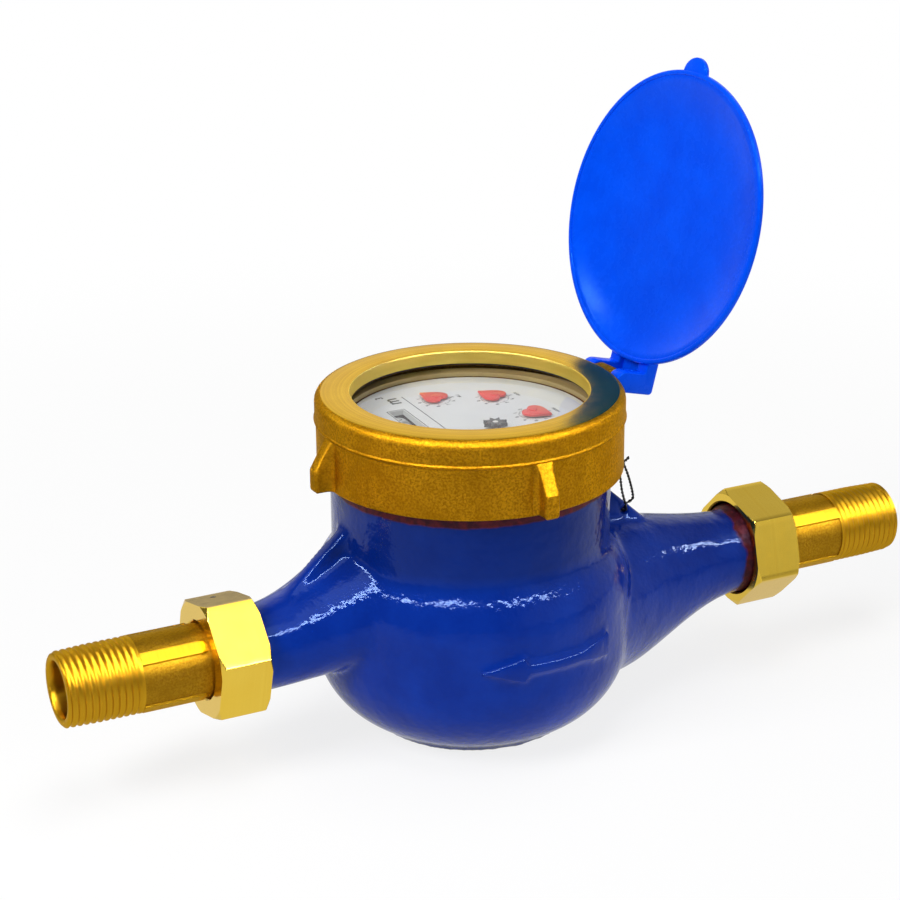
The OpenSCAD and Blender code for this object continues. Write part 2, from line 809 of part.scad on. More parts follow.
module pointer_arbor(p, level, turn, pinion) {
    color([0.8, 0.8, 0.78]) {
        arbor(p, pointer_z + pointer_t);
        gear(p, level, teeth_arbor, turn);
        if (pinion)
            gear(p, level + 1, teeth_arbor_pinion, 0);
    }
}

module transfer_arbor(p, level, pinion_level, turn) {
    color([0.8, 0.8, 0.78]) {
        arbor(p, upper_z + plate_t);
        gear(p, level, teeth_transfer, turn);
        gear(p, pinion_level, teeth_transfer_pinion, 0);
    }
}

module arbor_a() {
    pointer_arbor(at_a, 2, turn_a, true);
}

module arbor_b() {
    pointer_arbor(at_b, 4, turn_b, true);
}

module arbor_c() {
    pointer_arbor(at_c, 2, turn_c, true);
}

module arbor_d() {
    pointer_arbor(at_d, 4, turn_d, false);
}

module transfer_a() {
    transfer_arbor(at_t1, 3, 4, turn_t1);
}

module transfer_b() {
    transfer_arbor(at_t2, 5, 2, turn_t2);
}

module transfer_c() {
    transfer_arbor(at_t3, 3, 4, turn_t3);
}

module pointer_form(p, a) {
    color([0.8, 0.08, 0.08])
        translate([p[0], p[1], pointer_z])
            rotate([0, 0, a])
                difference() {
                    union() {
                        cylinder(h = pointer_t, r = 1.9);
                        linear_extrude(pointer_t)
                            polygon([[-0.4, 1.4], [0.6, 1.8], [pointer_len, 0.12], [pointer_len, -0.12],
                                     [0.6, -1.8], [-0.4, -1.4]]);
                    }
                    translate([0, 0, -1])
                        cylinder(h = 3, r = arbor_r + 0.02);
                }
}

module pointer_a() {
    pointer_form(at_a, 180);
}

module pointer_b() {
    pointer_form(at_b, 180);
}

module pointer_c() {
    pointer_form(at_c, 180);
}

module pointer_d() {
    pointer_form(at_d, 180);
}

module counter_frame() {
    y0 = drum_end - 5 * drum_pitch - 1.8;
    y1 = drum_end + 0.8;
    x0 = carry_x - 2.6;
    z0 = upper_z + plate_t;
    color([0.86, 0.86, 0.82])
        difference() {
            union() {
                for (y = [y0, y1])
                    translate([x0, y, z0])
                        cube([drum_x - x0 + 3, 1, drum_z - z0 + 3]);
                translate([x0 - 1, y0, z0])
                    cube([1.2, y1 - y0 + 1, 3]);
            }
            rod_y(drum_x, drum_z, y0 - 1, y1 + 2, drum_shaft_r + 0.02);
            rod_y(carry_x, drum_z, y0 - 1, y1 + 2, carry_shaft_r + 0.02);
        }
}

module drum_shaft() {
    color([0.7, 0.7, 0.72])
        rod_y(drum_x, drum_z, drum_end - 5 * drum_pitch - 2, drum_end + 2, drum_shaft_r);
}

module carry_shaft() {
    color([0.7, 0.7, 0.72])
        rod_y(carry_x, drum_z, drum_end - 5 * drum_pitch - 2, drum_end + 2, carry_shaft_r);
}

module flat_y(x, z, y, h) {
    translate([x, y, z])
        rotate([-90, 0, 0])
            linear_extrude(h)
                children();
}

module drum_form(i) {
    y0 = drum_end - i * drum_pitch;
    color([0.95, 0.95, 0.93])
        difference() {
            union() {
                rod_y(drum_x, drum_z, y0 + 0.75, y0 + drum_pitch - 0.75, drum_r);
                if (i > 1)
                    flat_y(drum_x, drum_z, y0 + drum_pitch - 0.8, 0.5)
                        teeth(20, carry_mod, 9);
                rod_y(drum_x, drum_z, y0 + 0.3, y0 + 0.8, 3.4);
                if (i < 5)
                    flat_y(drum_x, drum_z, y0 + 0.3, 0.5)
                        intersection() {
                            teeth(20, carry_mod, 9);
                            polygon([[0, 0], polar(9, -36), polar(9, 36)]);
                        }
            }
            rod_y(drum_x, drum_z, y0 - 1, y0 + drum_pitch + 1, drum_shaft_r + run_gap);
        }
}

module carry_form(i) {
    y0 = drum_end - i * drum_pitch;
    color([0.9, 0.9, 0.88])
        difference() {
            flat_y(carry_x, drum_z, y0 - 0.42, 0.84)
                teeth(8, carry_mod, 0);
            rod_y(carry_x, drum_z, y0 - 2, y0 + 2, carry_shaft_r + run_gap);
        }
}

module drum_1() {
    drum_form(1);
}

module drum_2() {
    drum_form(2);
}

module drum_3() {
    drum_form(3);
}

module drum_4() {
    drum_form(4);
}

module drum_5() {
    drum_form(5);
}

module carry_1() {
    carry_form(1);
}

module carry_2() {
    carry_form(2);
}

module carry_3() {
    carry_form(3);
}

module carry_4() {
    carry_form(4);
}

body();
cover_ring();
lid();
hinge_pin();
cover_glass();
glass_seal();
slip_ring();
inlet_nut();
outlet_nut();
inlet_tailpiece();
outlet_tailpiece();
inlet_gasket();
outlet_gasket();
seal_wire();
strainer();
measuring_chamber();
pivot_pin();
impeller();
gear_box();
shaft_bush();
lower_plate();
upper_plate();
plate_spacers();
dial_spacers();
dial_plate();
star_arbor();
star_wheel();
feed_arbor();
arbor_a();
arbor_b();
arbor_c();
arbor_d();
transfer_a();
transfer_b();
transfer_c();
pointer_a();
pointer_b();
pointer_c();
pointer_d();
counter_frame();
drum_shaft();
carry_shaft();
drum_1();
drum_2();
drum_3();
drum_4();
drum_5();
carry_1();
carry_2();
carry_3();
carry_4();
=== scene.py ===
import json
import math

import bmesh
import bpy
import numpy as np
from mathutils import Matrix, Vector

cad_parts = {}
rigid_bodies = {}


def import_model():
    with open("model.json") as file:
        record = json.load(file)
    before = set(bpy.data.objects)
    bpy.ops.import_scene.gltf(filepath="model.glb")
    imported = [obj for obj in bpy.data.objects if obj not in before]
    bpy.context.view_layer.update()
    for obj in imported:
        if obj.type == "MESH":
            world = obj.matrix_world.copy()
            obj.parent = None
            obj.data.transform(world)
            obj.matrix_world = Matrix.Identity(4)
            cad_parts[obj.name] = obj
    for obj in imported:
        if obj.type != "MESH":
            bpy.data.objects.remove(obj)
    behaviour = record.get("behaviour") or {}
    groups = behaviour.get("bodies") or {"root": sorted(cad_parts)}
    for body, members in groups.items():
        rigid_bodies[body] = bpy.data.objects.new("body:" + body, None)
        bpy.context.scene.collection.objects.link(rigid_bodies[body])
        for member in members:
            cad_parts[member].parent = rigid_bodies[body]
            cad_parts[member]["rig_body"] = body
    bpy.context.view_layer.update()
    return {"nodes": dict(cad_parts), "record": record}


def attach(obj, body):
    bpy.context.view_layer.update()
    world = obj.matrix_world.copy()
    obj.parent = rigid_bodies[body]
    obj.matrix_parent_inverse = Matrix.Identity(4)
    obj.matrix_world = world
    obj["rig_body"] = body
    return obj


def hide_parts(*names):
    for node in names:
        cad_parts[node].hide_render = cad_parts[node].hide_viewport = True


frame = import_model()
nodes = frame["nodes"]
scene = bpy.context.scene
MM = 0.001

# Sizes in millimetres, as in the part's source.
AXIS_Z, BOWL_R, ARROW_DEG = 32.0, 44.0, 2.5
INLET_END, OUTLET_END = 91.7, -73.3
RING_Z, RING_TOP, RING_R, RING_BORE, RING_UP = 73.2, 95.3, 42.0, 38.65, 42.3
BEAD_Z, LIP_Z, MOUTH_R = 88.0, 91.6, 32.5
LUG_REACH, LUG_T = 5.4, 4.0
GLASS_Z, GLASS_TOP, GLASS_R = 85.6, 91.1, 38.2
DIAL_TOP = 84.0
POINTER_Z, POINTER_T = 84.4, 0.8
LID_R, LID_DEPTH, LID_T, EDGE_W = 41.1, 5.0, 1.5, 1.4
OPEN_DEG, HINGE_DEG, HINGE_R, HINGE_Z = 105.4, 5.8, 46.0, 90.6
PIN_HALF, EAR_IN, EAR_ROUND, TAB_W = 8.5, 4.2, 3.0, 10.4
RIM_Z = 95.6
FLAP_Z, FLAP_IN = RIM_Z + 5.4, LID_R - 3.9
NUT_OUT, GASKET_T, COLLAR_T, END_R = 7.8, 2.3, 2.4, 13.2
NUT_AF, NUT_LEN, INLET_TURN, OUTLET_TURN, SEAL_HOLE = 30.5, 14.4, 45.5, 16.4, 3.86
STEM_R, TAIL_R, THREAD_LEN, TAIL_OUT, BORE_R = 10.15, 10.48, 19.0, 47.4, 7.8
RIB_W, RIB_H, RIB_DEG = 3.4, 0.42, (45, 135, 225, 315)
PITCH, RIDGE = 1.814, 0.46
DRUM_X, DRUM_Z, DRUM_R, DRUM_PITCH, DRUM_END = -15.0, 76.7, 5.8, 4.2, 15.0
POINTERS = {"a": (5.985, -16.445), "b": (16.904, -4.529), "c": (13.406, 11.249), "d": (-1.525, 17.433)}
POINTER_DEG = {"a": -100, "b": -54, "c": 119, "d": 119}
WIRE_D, WIRE_LAY = 0.9, 2.2
NECK_R, NECK_TOP, FIN_T = 38.5, 84.1, 5.0
SCALE_R, DIGIT_R, FACTOR_R = 4.0, 4.9, 6.9
UNIT_AT, POWER_AT = (-12.7, 21.8), (-14.9, 25.7)
RULE_X, RULE_HALF, FRAME_W = -8.9, 24.0, 0.2
WINDOW_X, WINDOW_Y = (-17.6, -12.4), (-6.2, 15.2)

# The camera, as fitted to the photo: degrees, pixels, and a point of the upright axis as the camera sees it.
CAM_AZ, CAM_EL, CAM_ROLL = -26.569, 20.38, -0.502
PHOTO_PX, FOCAL_PX, SENSOR = 900, 2461.3, 36
AIM_Z, AIM_SEEN = 60, (5.671, -16.343, -679.169)
# Level directions from the object to the camera, and to the camera's right.
TO_CAMERA, TO_RIGHT = (-0.447, -0.894, 0), (0.894, -0.447, 0)

# Strengths of what metal and enamel mirror, and of the fill that matt surfaces get.
ROOM_DIM, ROOM_BACK, ROOM_SIDE, ROOM_TOP = 0.16, 1.0, 0.65, 0.6
BOX_LIGHT, STRIP_LIGHT, FILL_LIGHT = 2.1, 42.0, 0.22


# Camera and light

def place_camera():
    az, el, roll = (math.radians(a) for a in (CAM_AZ, CAM_EL, CAM_ROLL))
    back = Vector((math.sin(az) * math.cos(el), -math.cos(az) * math.cos(el), math.sin(el)))
    right = Vector((math.cos(az), math.sin(az), 0))
    up = back.cross(right)
    c, s = math.cos(roll), math.sin(roll)
    rows = Matrix((right * c + up * s, up * c - right * s, back))
    place = Vector((0, 0, AIM_Z)) - rows.transposed() @ Vector(AIM_SEEN)
    data = bpy.data.cameras.new("camera")
    data.sensor_width = SENSOR
    data.lens = SENSOR * FOCAL_PX / PHOTO_PX
    data.clip_start, data.clip_end = 0.02, 50
    cam = bpy.data.objects.new("camera", data)
    scene.collection.objects.link(cam)
    cam.matrix_world = Matrix.Translation(place * MM) @ rows.transposed().to_4x4()
    scene.camera = cam


def area_light(name, place, target, size, power):
    data = bpy.data.lights.new(name, "AREA")
    data.shape = "RECTANGLE"
    data.size, data.size_y = size
    data.energy = power
    lamp = bpy.data.objects.new(name, data)
    scene.collection.objects.link(lamp)
    lamp.location = place
    lamp.visible_glossy = lamp.visible_transmission = False
    lamp.rotation_mode = "QUATERNION"
    lamp.rotation_quaternion = (Vector(target) - Vector(place)).to_track_quat("-Z", "Y")


def make(tree, kind, inputs=None, **attributes):
    """A new shader node, with values or links for its inputs."""
    n = tree.nodes.new(kind)
    for key, value in attributes.items():
        setattr(n, key, value)
    for key, value in (inputs or {}).items():
        socket = n.inputs[key]
        if isinstance(value, bpy.types.NodeSocket):
            tree.links.new(value, socket)
        else:
            socket.default_value = value
    return n


def maths(tree, operation, a, b=0.0, clamp=False):
    n = make(tree, "ShaderNodeMath", {0: a, 1: b}, operation=operation, use_clamp=clamp)
    return n.outputs[0]


def product(tree, total, *others):
    for value in others:
        total = maths(tree, "MULTIPLY", total, value)
    return total


def dot(tree, a, b):
    return make(tree, "ShaderNodeVectorMath", {0: a, 1: b}, operation="DOT_PRODUCT").outputs["Value"]


def length(tree, a):
    return make(tree, "ShaderNodeVectorMath", {0: a}, operation="LENGTH").outputs["Value"]


def component(tree, a, which):
    return make(tree, "ShaderNodeSeparateXYZ", {0: a}).outputs[which]


def float_mix(tree, share, a, b):
    return make(tree, "ShaderNodeMix", {0: share, 2: a, 3: b}, data_type="FLOAT").outputs[0]


def shown_ray(tree):
    """1 for camera, glossy and transmission rays that no matt surface has sent on. Also the light path."""
    ray = make(tree, "ShaderNodeLightPath").outputs
    some = maths(tree, "ADD", ray["Is Camera Ray"], ray["Is Glossy Ray"])
    some = maths(tree, "ADD", some, ray["Is Transmission Ray"], clamp=True)
    return maths(tree, "SUBTRACT", some, ray["Diffuse Depth"], clamp=True), ray


def ease(tree, value, low, high, to_low=0.0, to_high=1.0):
    """A smooth step from to_low at low to to_high at high."""
    n = make(tree, "ShaderNodeMapRange", {0: value, 1: low, 2: high, 3: to_low, 4: to_high})
    n.interpolation_type = "SMOOTHSTEP"
    return n.outputs[0]


def make_world():
    """White for the camera, a studio with an overhead strip for reflections, plain fill for the rest."""
    world = bpy.data.worlds.new("studio")
    scene.world = world
    world.use_nodes = True
    tree = world.node_tree
    tree.nodes.clear()
    shown, ray = shown_ray(tree)
    way = make(tree, "ShaderNodeTexCoord").outputs["Generated"]
    ahead = dot(tree, way, TO_CAMERA)
    aside = dot(tree, way, TO_RIGHT)
    up = component(tree, way, 2)

    # the room: dim in front, lighter behind the object, at its side and straight above
    back = product(tree, ease(tree, ahead, -0.8, -0.35, ROOM_BACK, ROOM_DIM),
                   ease(tree, up, 0.4, 0.7, 1.0, 0.65), ease(tree, up, 0.04, 0.26, 0.5, 1.0))
    room = maths(tree, "MAXIMUM", back, ease(tree, aside, 0.3, 0.75, ROOM_DIM, ROOM_SIDE))
    room = maths(tree, "MAXIMUM", room, ease(tree, up, 0.9, 0.98, 0.0, ROOM_TOP))

    # a wide box high up and a narrow strip below it
    box = product(tree, ease(tree, up, 0.62, 0.74), ease(tree, up, 0.9, 0.97, 1.0, 0.0),
                  ease(tree, ahead, -0.1, 0.15))
    lift = maths(tree, "SUBTRACT", up, maths(tree, "MULTIPLY", ahead, 0.33))
    strip = product(tree, ease(tree, lift, 0.488, 0.50), ease(tree, lift, 0.55, 0.562, 1.0, 0.0),
                    ease(tree, ahead, -0.1, 0.0))
    room = maths(tree, "ADD", room, maths(tree, "MULTIPLY", box, BOX_LIGHT))
    room = maths(tree, "ADD", room, maths(tree, "MULTIPLY", strip, STRIP_LIGHT))

    level = float_mix(tree, ray["Is Camera Ray"], room, 1.0)
    seen = make(tree, "ShaderNodeBackground", {"Color": (1, 1, 1, 1), "Strength": level})
    fill = make(tree, "ShaderNodeBackground", {"Color": (1, 1, 1, 1), "Strength": FILL_LIGHT})
    mix = make(tree, "ShaderNodeMixShader", {0: shown, 1: fill.outputs[0], 2: seen.outputs[0]})
    make(tree, "ShaderNodeOutputWorld", {"Surface": mix.outputs[0]})


def make_floor():
    """A matt floor that keeps the shadow, and shows white to the camera and a softer grey in reflections."""
    mesh = bpy.data.meshes.new("floor")
    w = 6.0
    mesh.from_pydata([(-w, -w, 0), (w, -w, 0), (w, w, 0), (-w, w, 0)], [], [(0, 1, 2, 3)])
    obj = bpy.data.objects.new("floor", mesh)
    obj.location.z = -0.0002
    scene.collection.objects.link(obj)
    mat = bpy.data.materials.new("floor")
    mat.use_nodes = True
    tree = mat.node_tree
    tree.nodes.clear()
    shown, ray = shown_ray(tree)
    place = make(tree, "ShaderNodeTexCoord").outputs["Object"]
    away = length(tree, place)
    share = maths(tree, "MULTIPLY", shown, ease(tree, away, 0.15, 0.5, 0.82, 1.0))
    deep = component(tree, place, 1)
    front, behind = ease(tree, deep, -0.25, -0.06, 0.38, 0.75), ease(tree, deep, 0.06, 0.4, 0.75, 0.42)
    mirror = product(tree, maths(tree, "MINIMUM", front, behind), ease(tree, away, 0.7, 1.5, 1.0, 0.35))
    level = float_mix(tree, ray["Is Camera Ray"], mirror, 1.0)
    matte = make(tree, "ShaderNodeBsdfDiffuse", {"Color": (0.9, 0.9, 0.9, 1)})
    glow = make(tree, "ShaderNodeEmission", {"Color": (1, 1, 1, 1), "Strength": level})
    mix = make(tree, "ShaderNodeMixShader", {0: share, 1: matte.outputs[0], 2: glow.outputs[0]})
    make(tree, "ShaderNodeOutputMaterial", {"Surface": mix.outputs[0]})
    mesh.materials.append(mat)


scene.view_settings.view_transform = "Standard"
place_camera()
make_world()
make_floor()
MIDDLE = (0.0, 0.0, 0.06)
area_light("key", (-0.80, -0.16, 0.80), MIDDLE, (0.5, 0.5), 8.0)
area_light("fill", (0.62, -0.74, 0.34), MIDDLE, (0.6, 0.4), 2.4)
area_light("top", (0.05, -0.05, 1.0), MIDDLE, (0.7, 0.35), 4.0)


# Mesh helpers

def shade(obj, angle):
    mesh = obj.data
    mesh.polygons.foreach_set("use_smooth", [True] * len(mesh.polygons))
    mesh.set_sharp_from_angle(angle=math.radians(angle))


def add_piece(name, points, faces, body, material, slot, stands_for=(), angle=32):
    """A mesh piece from points in millimetres, in the part's frame."""
    mesh = bpy.data.meshes.new(name)
    mesh.from_pydata((np.asarray(points, float) * MM).tolist(), [], faces)
    mesh.validate()
    mesh.materials.append(material)
    obj = bpy.data.objects.new(name, mesh)
    scene.collection.objects.link(obj)
    shade(obj, angle)
    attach(obj, body)
    if stands_for:
        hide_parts(*stands_for)
    return obj


def joined(parts):
    """Points and faces of several meshes as one."""
    points, faces = [], []
    for p, f in parts:
        n = len(points)
        points += [tuple(q) for q in p]
        faces += [tuple(i + n for i in face) for face in f]
    return points, faces


def rounded(corners, steps=5):
    """A closed outline from (u, v, radius) corners."""
    out = []
    n = len(corners)
    for i, (u, v, rad) in enumerate(corners):
        p = Vector((u, v))
        a = Vector(corners[i - 1][:2]) - p
        b = Vector(corners[(i + 1) % n][:2]) - p
        if rad <= 0:
            out.append((u, v))
            continue
        a_len, b_len = a.length, b.length
        a.normalize()
        b.normalize()
        half = math.acos(max(-1, min(1, a.dot(b)))) / 2
        back = min(rad / math.tan(half), 0.49 * a_len, 0.49 * b_len)
        r = back * math.tan(half)
        mid = (a + b).normalized()
        centre = p + mid * (r / math.sin(half))
        start, end = p + a * back - centre, p + b * back - centre
        turn = start.angle_signed(end)
        a0 = math.atan2(start.y, start.x)
        for k in range(steps + 1):
            ang = a0 - turn * k / steps
            out.append((centre.x + r * math.cos(ang), centre.y + r * math.sin(ang)))
    return out


def lathe(outline, count):
    """A closed outline of (radius, height) turned about Z."""
    m = len(outline)
    points, faces, index = [], [], []
    for r, z in outline:
        if r < 1e-6:
            index.append([len(points)] * count)
            points.append((0.0, 0.0, z))
        else:
            index.append(list(range(len(points), len(points) + count)))
            for k in range(count):
                t = 2 * math.pi * k / count
                points.append((r * math.cos(t), r * math.sin(t), z))
    for i in range(m):
        a, b = index[i], index[(i + 1) % m]
        if a[0] == a[1] and b[0] == b[1]:
            continue
        for k in range(count):
            q = (k + 1) % count
            face = [a[k], a[q], b[q], b[k]]
            face = [v for j, v in enumerate(face) if v not in face[:j]]
            faces.append(tuple(face))
    return points, faces


def circle(r, count):
    return [(r * math.cos(t), r * math.sin(t)) for t in np.linspace(0, 2 * math.pi, count + 1)[:-1]]


def skin(rows, around, loop=False):
    """Quads over rows of points. A loop joins its last row to its first, an open run is capped."""
    faces = []
    for j in range(rows if loop else rows - 1):
        a, b = j * around, (j + 1) % rows * around
        for i in range(around):
            q = (i + 1) % around
            faces.append((a + i, a + q, b + q, b + i))
    if not loop:
        faces.append(tuple(range(around))[::-1])
        faces.append(tuple((rows - 1) * around + i for i in range(around)))
    return faces


def prism(outline, low, high, bevel, put):
    """An outline extruded from low to high, with bevelled rims. put maps (u, v, w) to a point."""
    area = sum(p[0] * q[1] - q[0] * p[1] for p, q in zip(outline, outline[1:] + outline[:1]))
    ring = outline if area > 0 else outline[::-1]
    n = len(ring)

    def inset(d):
        out = []
        for i in range(n):
            p, a, b = Vector(ring[i]), Vector(ring[i - 1]), Vector(ring[(i + 1) % n])
            e, f = (p - a).normalized(), (b - p).normalized()
            na, nb = Vector((-e.y, e.x)), Vector((-f.y, f.x))
            m = na + nb
            out.append(tuple(p + m * (d / max(0.35, 1 + na.dot(nb)))))
        return out

    levels = []
    for k in range(4):
        t = math.pi / 2 * k / 3
        levels.append((inset(bevel * (1 - math.sin(t))), low + bevel * (1 - math.cos(t))))
    levels += [(ring_k, high + low - w) for ring_k, w in levels[::-1]]
    points = [put(u, v, w) for ring_k, w in levels for u, v in ring_k]
    return points, skin(len(levels), n)


def outward(obj):
    """Makes the faces of closed shells look out."""
    bm = bmesh.new()
    bm.from_mesh(obj.data)
    bmesh.ops.recalc_face_normals(bm, faces=bm.faces)
    bm.to_mesh(obj.data)
    bm.free()


def cast_skin(name, node, voxel, passes, material):
    """A smooth skin over a CAD node, with the soft corners of a casting."""
    obj = bpy.data.objects.new(name, nodes[node].data.copy())
    scene.collection.objects.link(obj)
    remesh = obj.modifiers.new("remesh", "REMESH")
    remesh.mode = "VOXEL"
    remesh.voxel_size = voxel * MM
    soft = obj.modifiers.new("soft", "SMOOTH")
    soft.factor, soft.iterations = 0.5, passes
    done = bpy.data.meshes.new_from_object(obj.evaluated_get(bpy.context.evaluated_depsgraph_get()))
    obj.modifiers.clear()
    obj.data = done
    done.name = name
    done.materials.clear()
    done.materials.append(material)
    done.polygons.foreach_set("use_smooth", [True] * len(done.polygons))
    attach(obj, nodes[node]["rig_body"])
    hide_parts(node)


# Materials

class Paint:
    """A procedural material around one Principled shader. Coordinates are the part's own, in metres."""

    def __init__(self, name, **sockets):
        self.mat = bpy.data.materials.new(name)
        self.mat.use_nodes = True
        self.tree = self.mat.node_tree
        self.shader = self.tree.nodes["Principled BSDF"]
        for key, value in sockets.items():
            self.shader.inputs[key.replace("_", " ")].default_value = value
        self.place = make(self.tree, "ShaderNodeTexCoord").outputs["Object"]
        self.height = None

    def noise(self, size, detail=3.0, rough=0.55, place=None):
        """Noise with spots of about size millimetres."""
        where = self.place if place is None else place
        inputs = {"Vector": where, "Scale": 1000 / size, "Detail": detail, "Roughness": rough}
        return make(self.tree, "ShaderNodeTexNoise", inputs).outputs["Fac"]

    def ramp(self, value, low, high, to_low=0.0, to_high=1.0):
        """A straight ramp from to_low at low to to_high at high."""
        n = make(self.tree, "ShaderNodeMapRange", {0: value, 1: low, 2: high, 3: to_low, 4: to_high})
        n.clamp = True
        return n.outputs[0]

    def mix(self, share, a, b):
        n = make(self.tree, "ShaderNodeMix", data_type="RGBA")
        for socket, value in ((n.inputs[0], share), (n.inputs[6], a), (n.inputs[7], b)):
            if isinstance(value, bpy.types.NodeSocket):
                self.tree.links.new(value, socket)
            else:
                socket.default_value = value
        return n.outputs[2]

    def calc(self, operation, a, b=0.0):
        return maths(self.tree, operation, a, b)

    def axis(self, which):
        return component(self.tree, self.place, which)

    def set(self, socket, value):
        self.tree.links.new(value, self.shader.inputs[socket])

    def bump(self, value, distance):
        """Adds a height in millimetres to the surface."""
        inputs = {"Height": value, "Distance": distance * MM, "Strength": 1.0}
        if self.height is not None:
            inputs["Normal"] = self.height
        self.height = make(self.tree, "ShaderNodeBump", inputs).outputs[0]
        self.tree.links.new(self.height, self.shader.inputs["Normal"])


def rgb(r, g, b):
    return (r, g, b, 1.0)


# What brass takes on at its edges
WARM, AMBER, PALE = rgb(1.0, 0.86, 0.5), rgb(1.0, 0.88, 0.68), rgb(1.0, 0.97, 0.95)


def enamel():
    """Brushed blue enamel, with painted shade darkening the neck under the ring, and red primer bare at the
    neck's top and the pipe ends.
    """
    p = Paint("blue_enamel_paint", IOR=1.36, Specular_Tint=rgb(0.4, 0.6, 1.0))
    cloud = p.ramp(p.noise(14, 4), 0.35, 0.65)
    blue = p.mix(cloud, rgb(0.0012, 0.021, 0.26), rgb(0.0025, 0.031, 0.33))
    wave = p.calc("MULTIPLY", p.calc("SUBTRACT", p.noise(9, 4), 0.5), 0.006)
    x, z = p.axis(0), p.axis(2)
    neck = p.ramp(p.calc("ADD", z, p.calc("MULTIPLY", wave, 0.25)), 0.0696, 0.0702)
    right = p.ramp(p.calc("ADD", x, wave), 0.0825, 0.0835)
    left = p.ramp(p.calc("ADD", x, wave), -0.0652, -0.0662)
    bare = p.calc("MAXIMUM", neck, p.calc("MAXIMUM", right, left))
    primer = p.mix(p.ramp(p.noise(2.2), 0.4, 0.6), rgb(0.050, 0.004, 0.004), rgb(0.11, 0.008, 0.006))
    # painted shade: the neck below the ring is darkened in the colour, standing in for the ring's shadow
    neck_shade = p.calc("MULTIPLY", p.ramp(z, 0.050, 0.056), p.ramp(p.calc("ABSOLUTE", x), 0.050, 0.044))
    blue = p.mix(p.calc("MULTIPLY", neck_shade, 0.6), blue, rgb(0.001, 0.010, 0.10))
    p.set("Base Color", p.mix(bare, blue, primer))
    dull = p.calc("MAXIMUM", p.calc("MULTIPLY", p.noise(6), 0.3), bare)
    p.set("Roughness", p.ramp(dull, 0.1, 1.0, 0.07, 0.5))
    p.bump(p.noise(6.5, 2, 0.5), 0.34)
    p.bump(p.noise(1.8, 2, 0.5), 0.09)
    p.bump(p.noise(0.9, 1, 0.5), 0.012)
    return p.mat


def cast_metal(name, light, dark, rough, grain=1.0):
    """Metal with the grain of a sand casting."""
    p = Paint(name, Metallic=1.0, Specular_Tint=WARM)
    cloud = p.ramp(p.noise(9, 5, 0.6), 0.2, 0.6)
    speck = p.ramp(p.noise(0.6, 2), 0.34, 0.62)
    p.set("Base Color", p.mix(p.calc("MULTIPLY", cloud, speck), dark, light))
    p.set("Roughness", p.ramp(p.noise(1.1, 3), 0.3, 0.7, *rough))
    p.bump(p.noise(0.62, 3, 0.6), 0.11 * grain)
    p.bump(p.noise(4.5, 2), 0.12 * grain)
    return p.mat


def turned_metal(name, light, dark, rough, axis, tint=WARM):
    """Machined metal: faint turning lines along one axis, or rings about Z."""
    p = Paint(name, Metallic=1.0, Specular_Tint=tint)
    cloud = p.ramp(p.noise(12, 4, 0.6), 0.3, 0.7)
    if axis == "ring":
        flat = make(p.tree, "ShaderNodeVectorMath", {0: p.place, 1: (1, 1, 0)}, operation="MULTIPLY")
        along = length(p.tree, flat.outputs[0])
    else:
        along = p.axis("XYZ".index(axis))
    along = make(p.tree, "ShaderNodeCombineXYZ", {0: along}).outputs[0]
    band = p.ramp(p.noise(1.0, 3, 0.5, along), 0.35, 0.65)
    p.set("Base Color", p.mix(p.mix(0.5, cloud, band), dark, light))
    p.set("Roughness", p.ramp(p.noise(3, 3), 0.3, 0.7, *rough))
    p.bump(p.noise(0.25, 2, 0.5, along), 0.003)
    return p.mat


def plastic(name, light, dark, rough, grain, **sockets):
    """Moulded plastic or rubber, or print, with a grain of the given height."""
    p = Paint(name, **sockets)
    p.set("Base Color", p.mix(p.ramp(p.noise(11, 3), 0.35, 0.65), dark, light))
    p.set("Roughness", p.ramp(p.noise(2.5, 3), 0.3, 0.7, rough - 0.05, rough + 0.07))
    if grain:
        p.bump(p.noise(1.2, 2), grain)
    return p.mat


def clear_glass():
    """Glass that lets the light through to the dial."""
    p = Paint("clear_glass_pane", IOR=1.14, Roughness=0.0, Transmission_Weight=1.0)
    p.shader.inputs["Base Color"].default_value = rgb(0.97, 0.985, 0.98)
    ray = make(p.tree, "ShaderNodeLightPath").outputs
    p.set("Alpha", p.calc("SUBTRACT", 1.0, ray["Is Shadow Ray"]))
    return p.mat


BODY_PAINT = enamel()
RING_BRASS = cast_metal("ring_cast_brass", rgb(0.66, 0.33, 0.010), rgb(0.37, 0.16, 0.003), (0.44, 0.58))
RING_TOP_BRASS = turned_metal("ring_turned_brass", rgb(0.84, 0.54, 0.035), rgb(0.60, 0.33, 0.016),
                              (0.17, 0.25), "ring", AMBER)
# turned brass for the ring's mouth, painted lighter than the top as painted light from the front
MOUTH_LIT_BRASS = turned_metal("mouth_turned_brass_painted_light", rgb(1.0, 0.80, 0.20), rgb(0.92, 0.68, 0.12),
                           (0.42, 0.55), "Z")
NUT_BRASS = turned_metal("nut_machined_brass", rgb(0.95, 0.66, 0.085), rgb(0.90, 0.595, 0.06),
                         (0.13, 0.19), "X", PALE)
THREAD_BRASS = turned_metal("thread_brass", rgb(0.63, 0.35, 0.017), rgb(0.52, 0.27, 0.010), (0.34, 0.44), "X")
STEM_BRASS = cast_metal("stem_cast_brass", rgb(0.46, 0.245, 0.013), rgb(0.32, 0.155, 0.006), (0.38, 0.5))
LID_PLASTIC = plastic("lid_blue_plastic", rgb(0.0, 0.082, 0.93), rgb(0.0, 0.068, 0.84), 0.26, 0, IOR=1.34,
                      Specular_Tint=rgb(0.1, 0.6, 1.0))
GLASS = clear_glass()
DIAL_WHITE = plastic("dial_white_print", rgb(0.70, 0.70, 0.685), rgb(0.66, 0.66, 0.645), 0.5, 0.006,
                     Specular_IOR_Level=0.1)
INK = plastic("dial_black_ink", rgb(0.012, 0.012, 0.014), rgb(0.02, 0.02, 0.022), 0.5, 0.004)
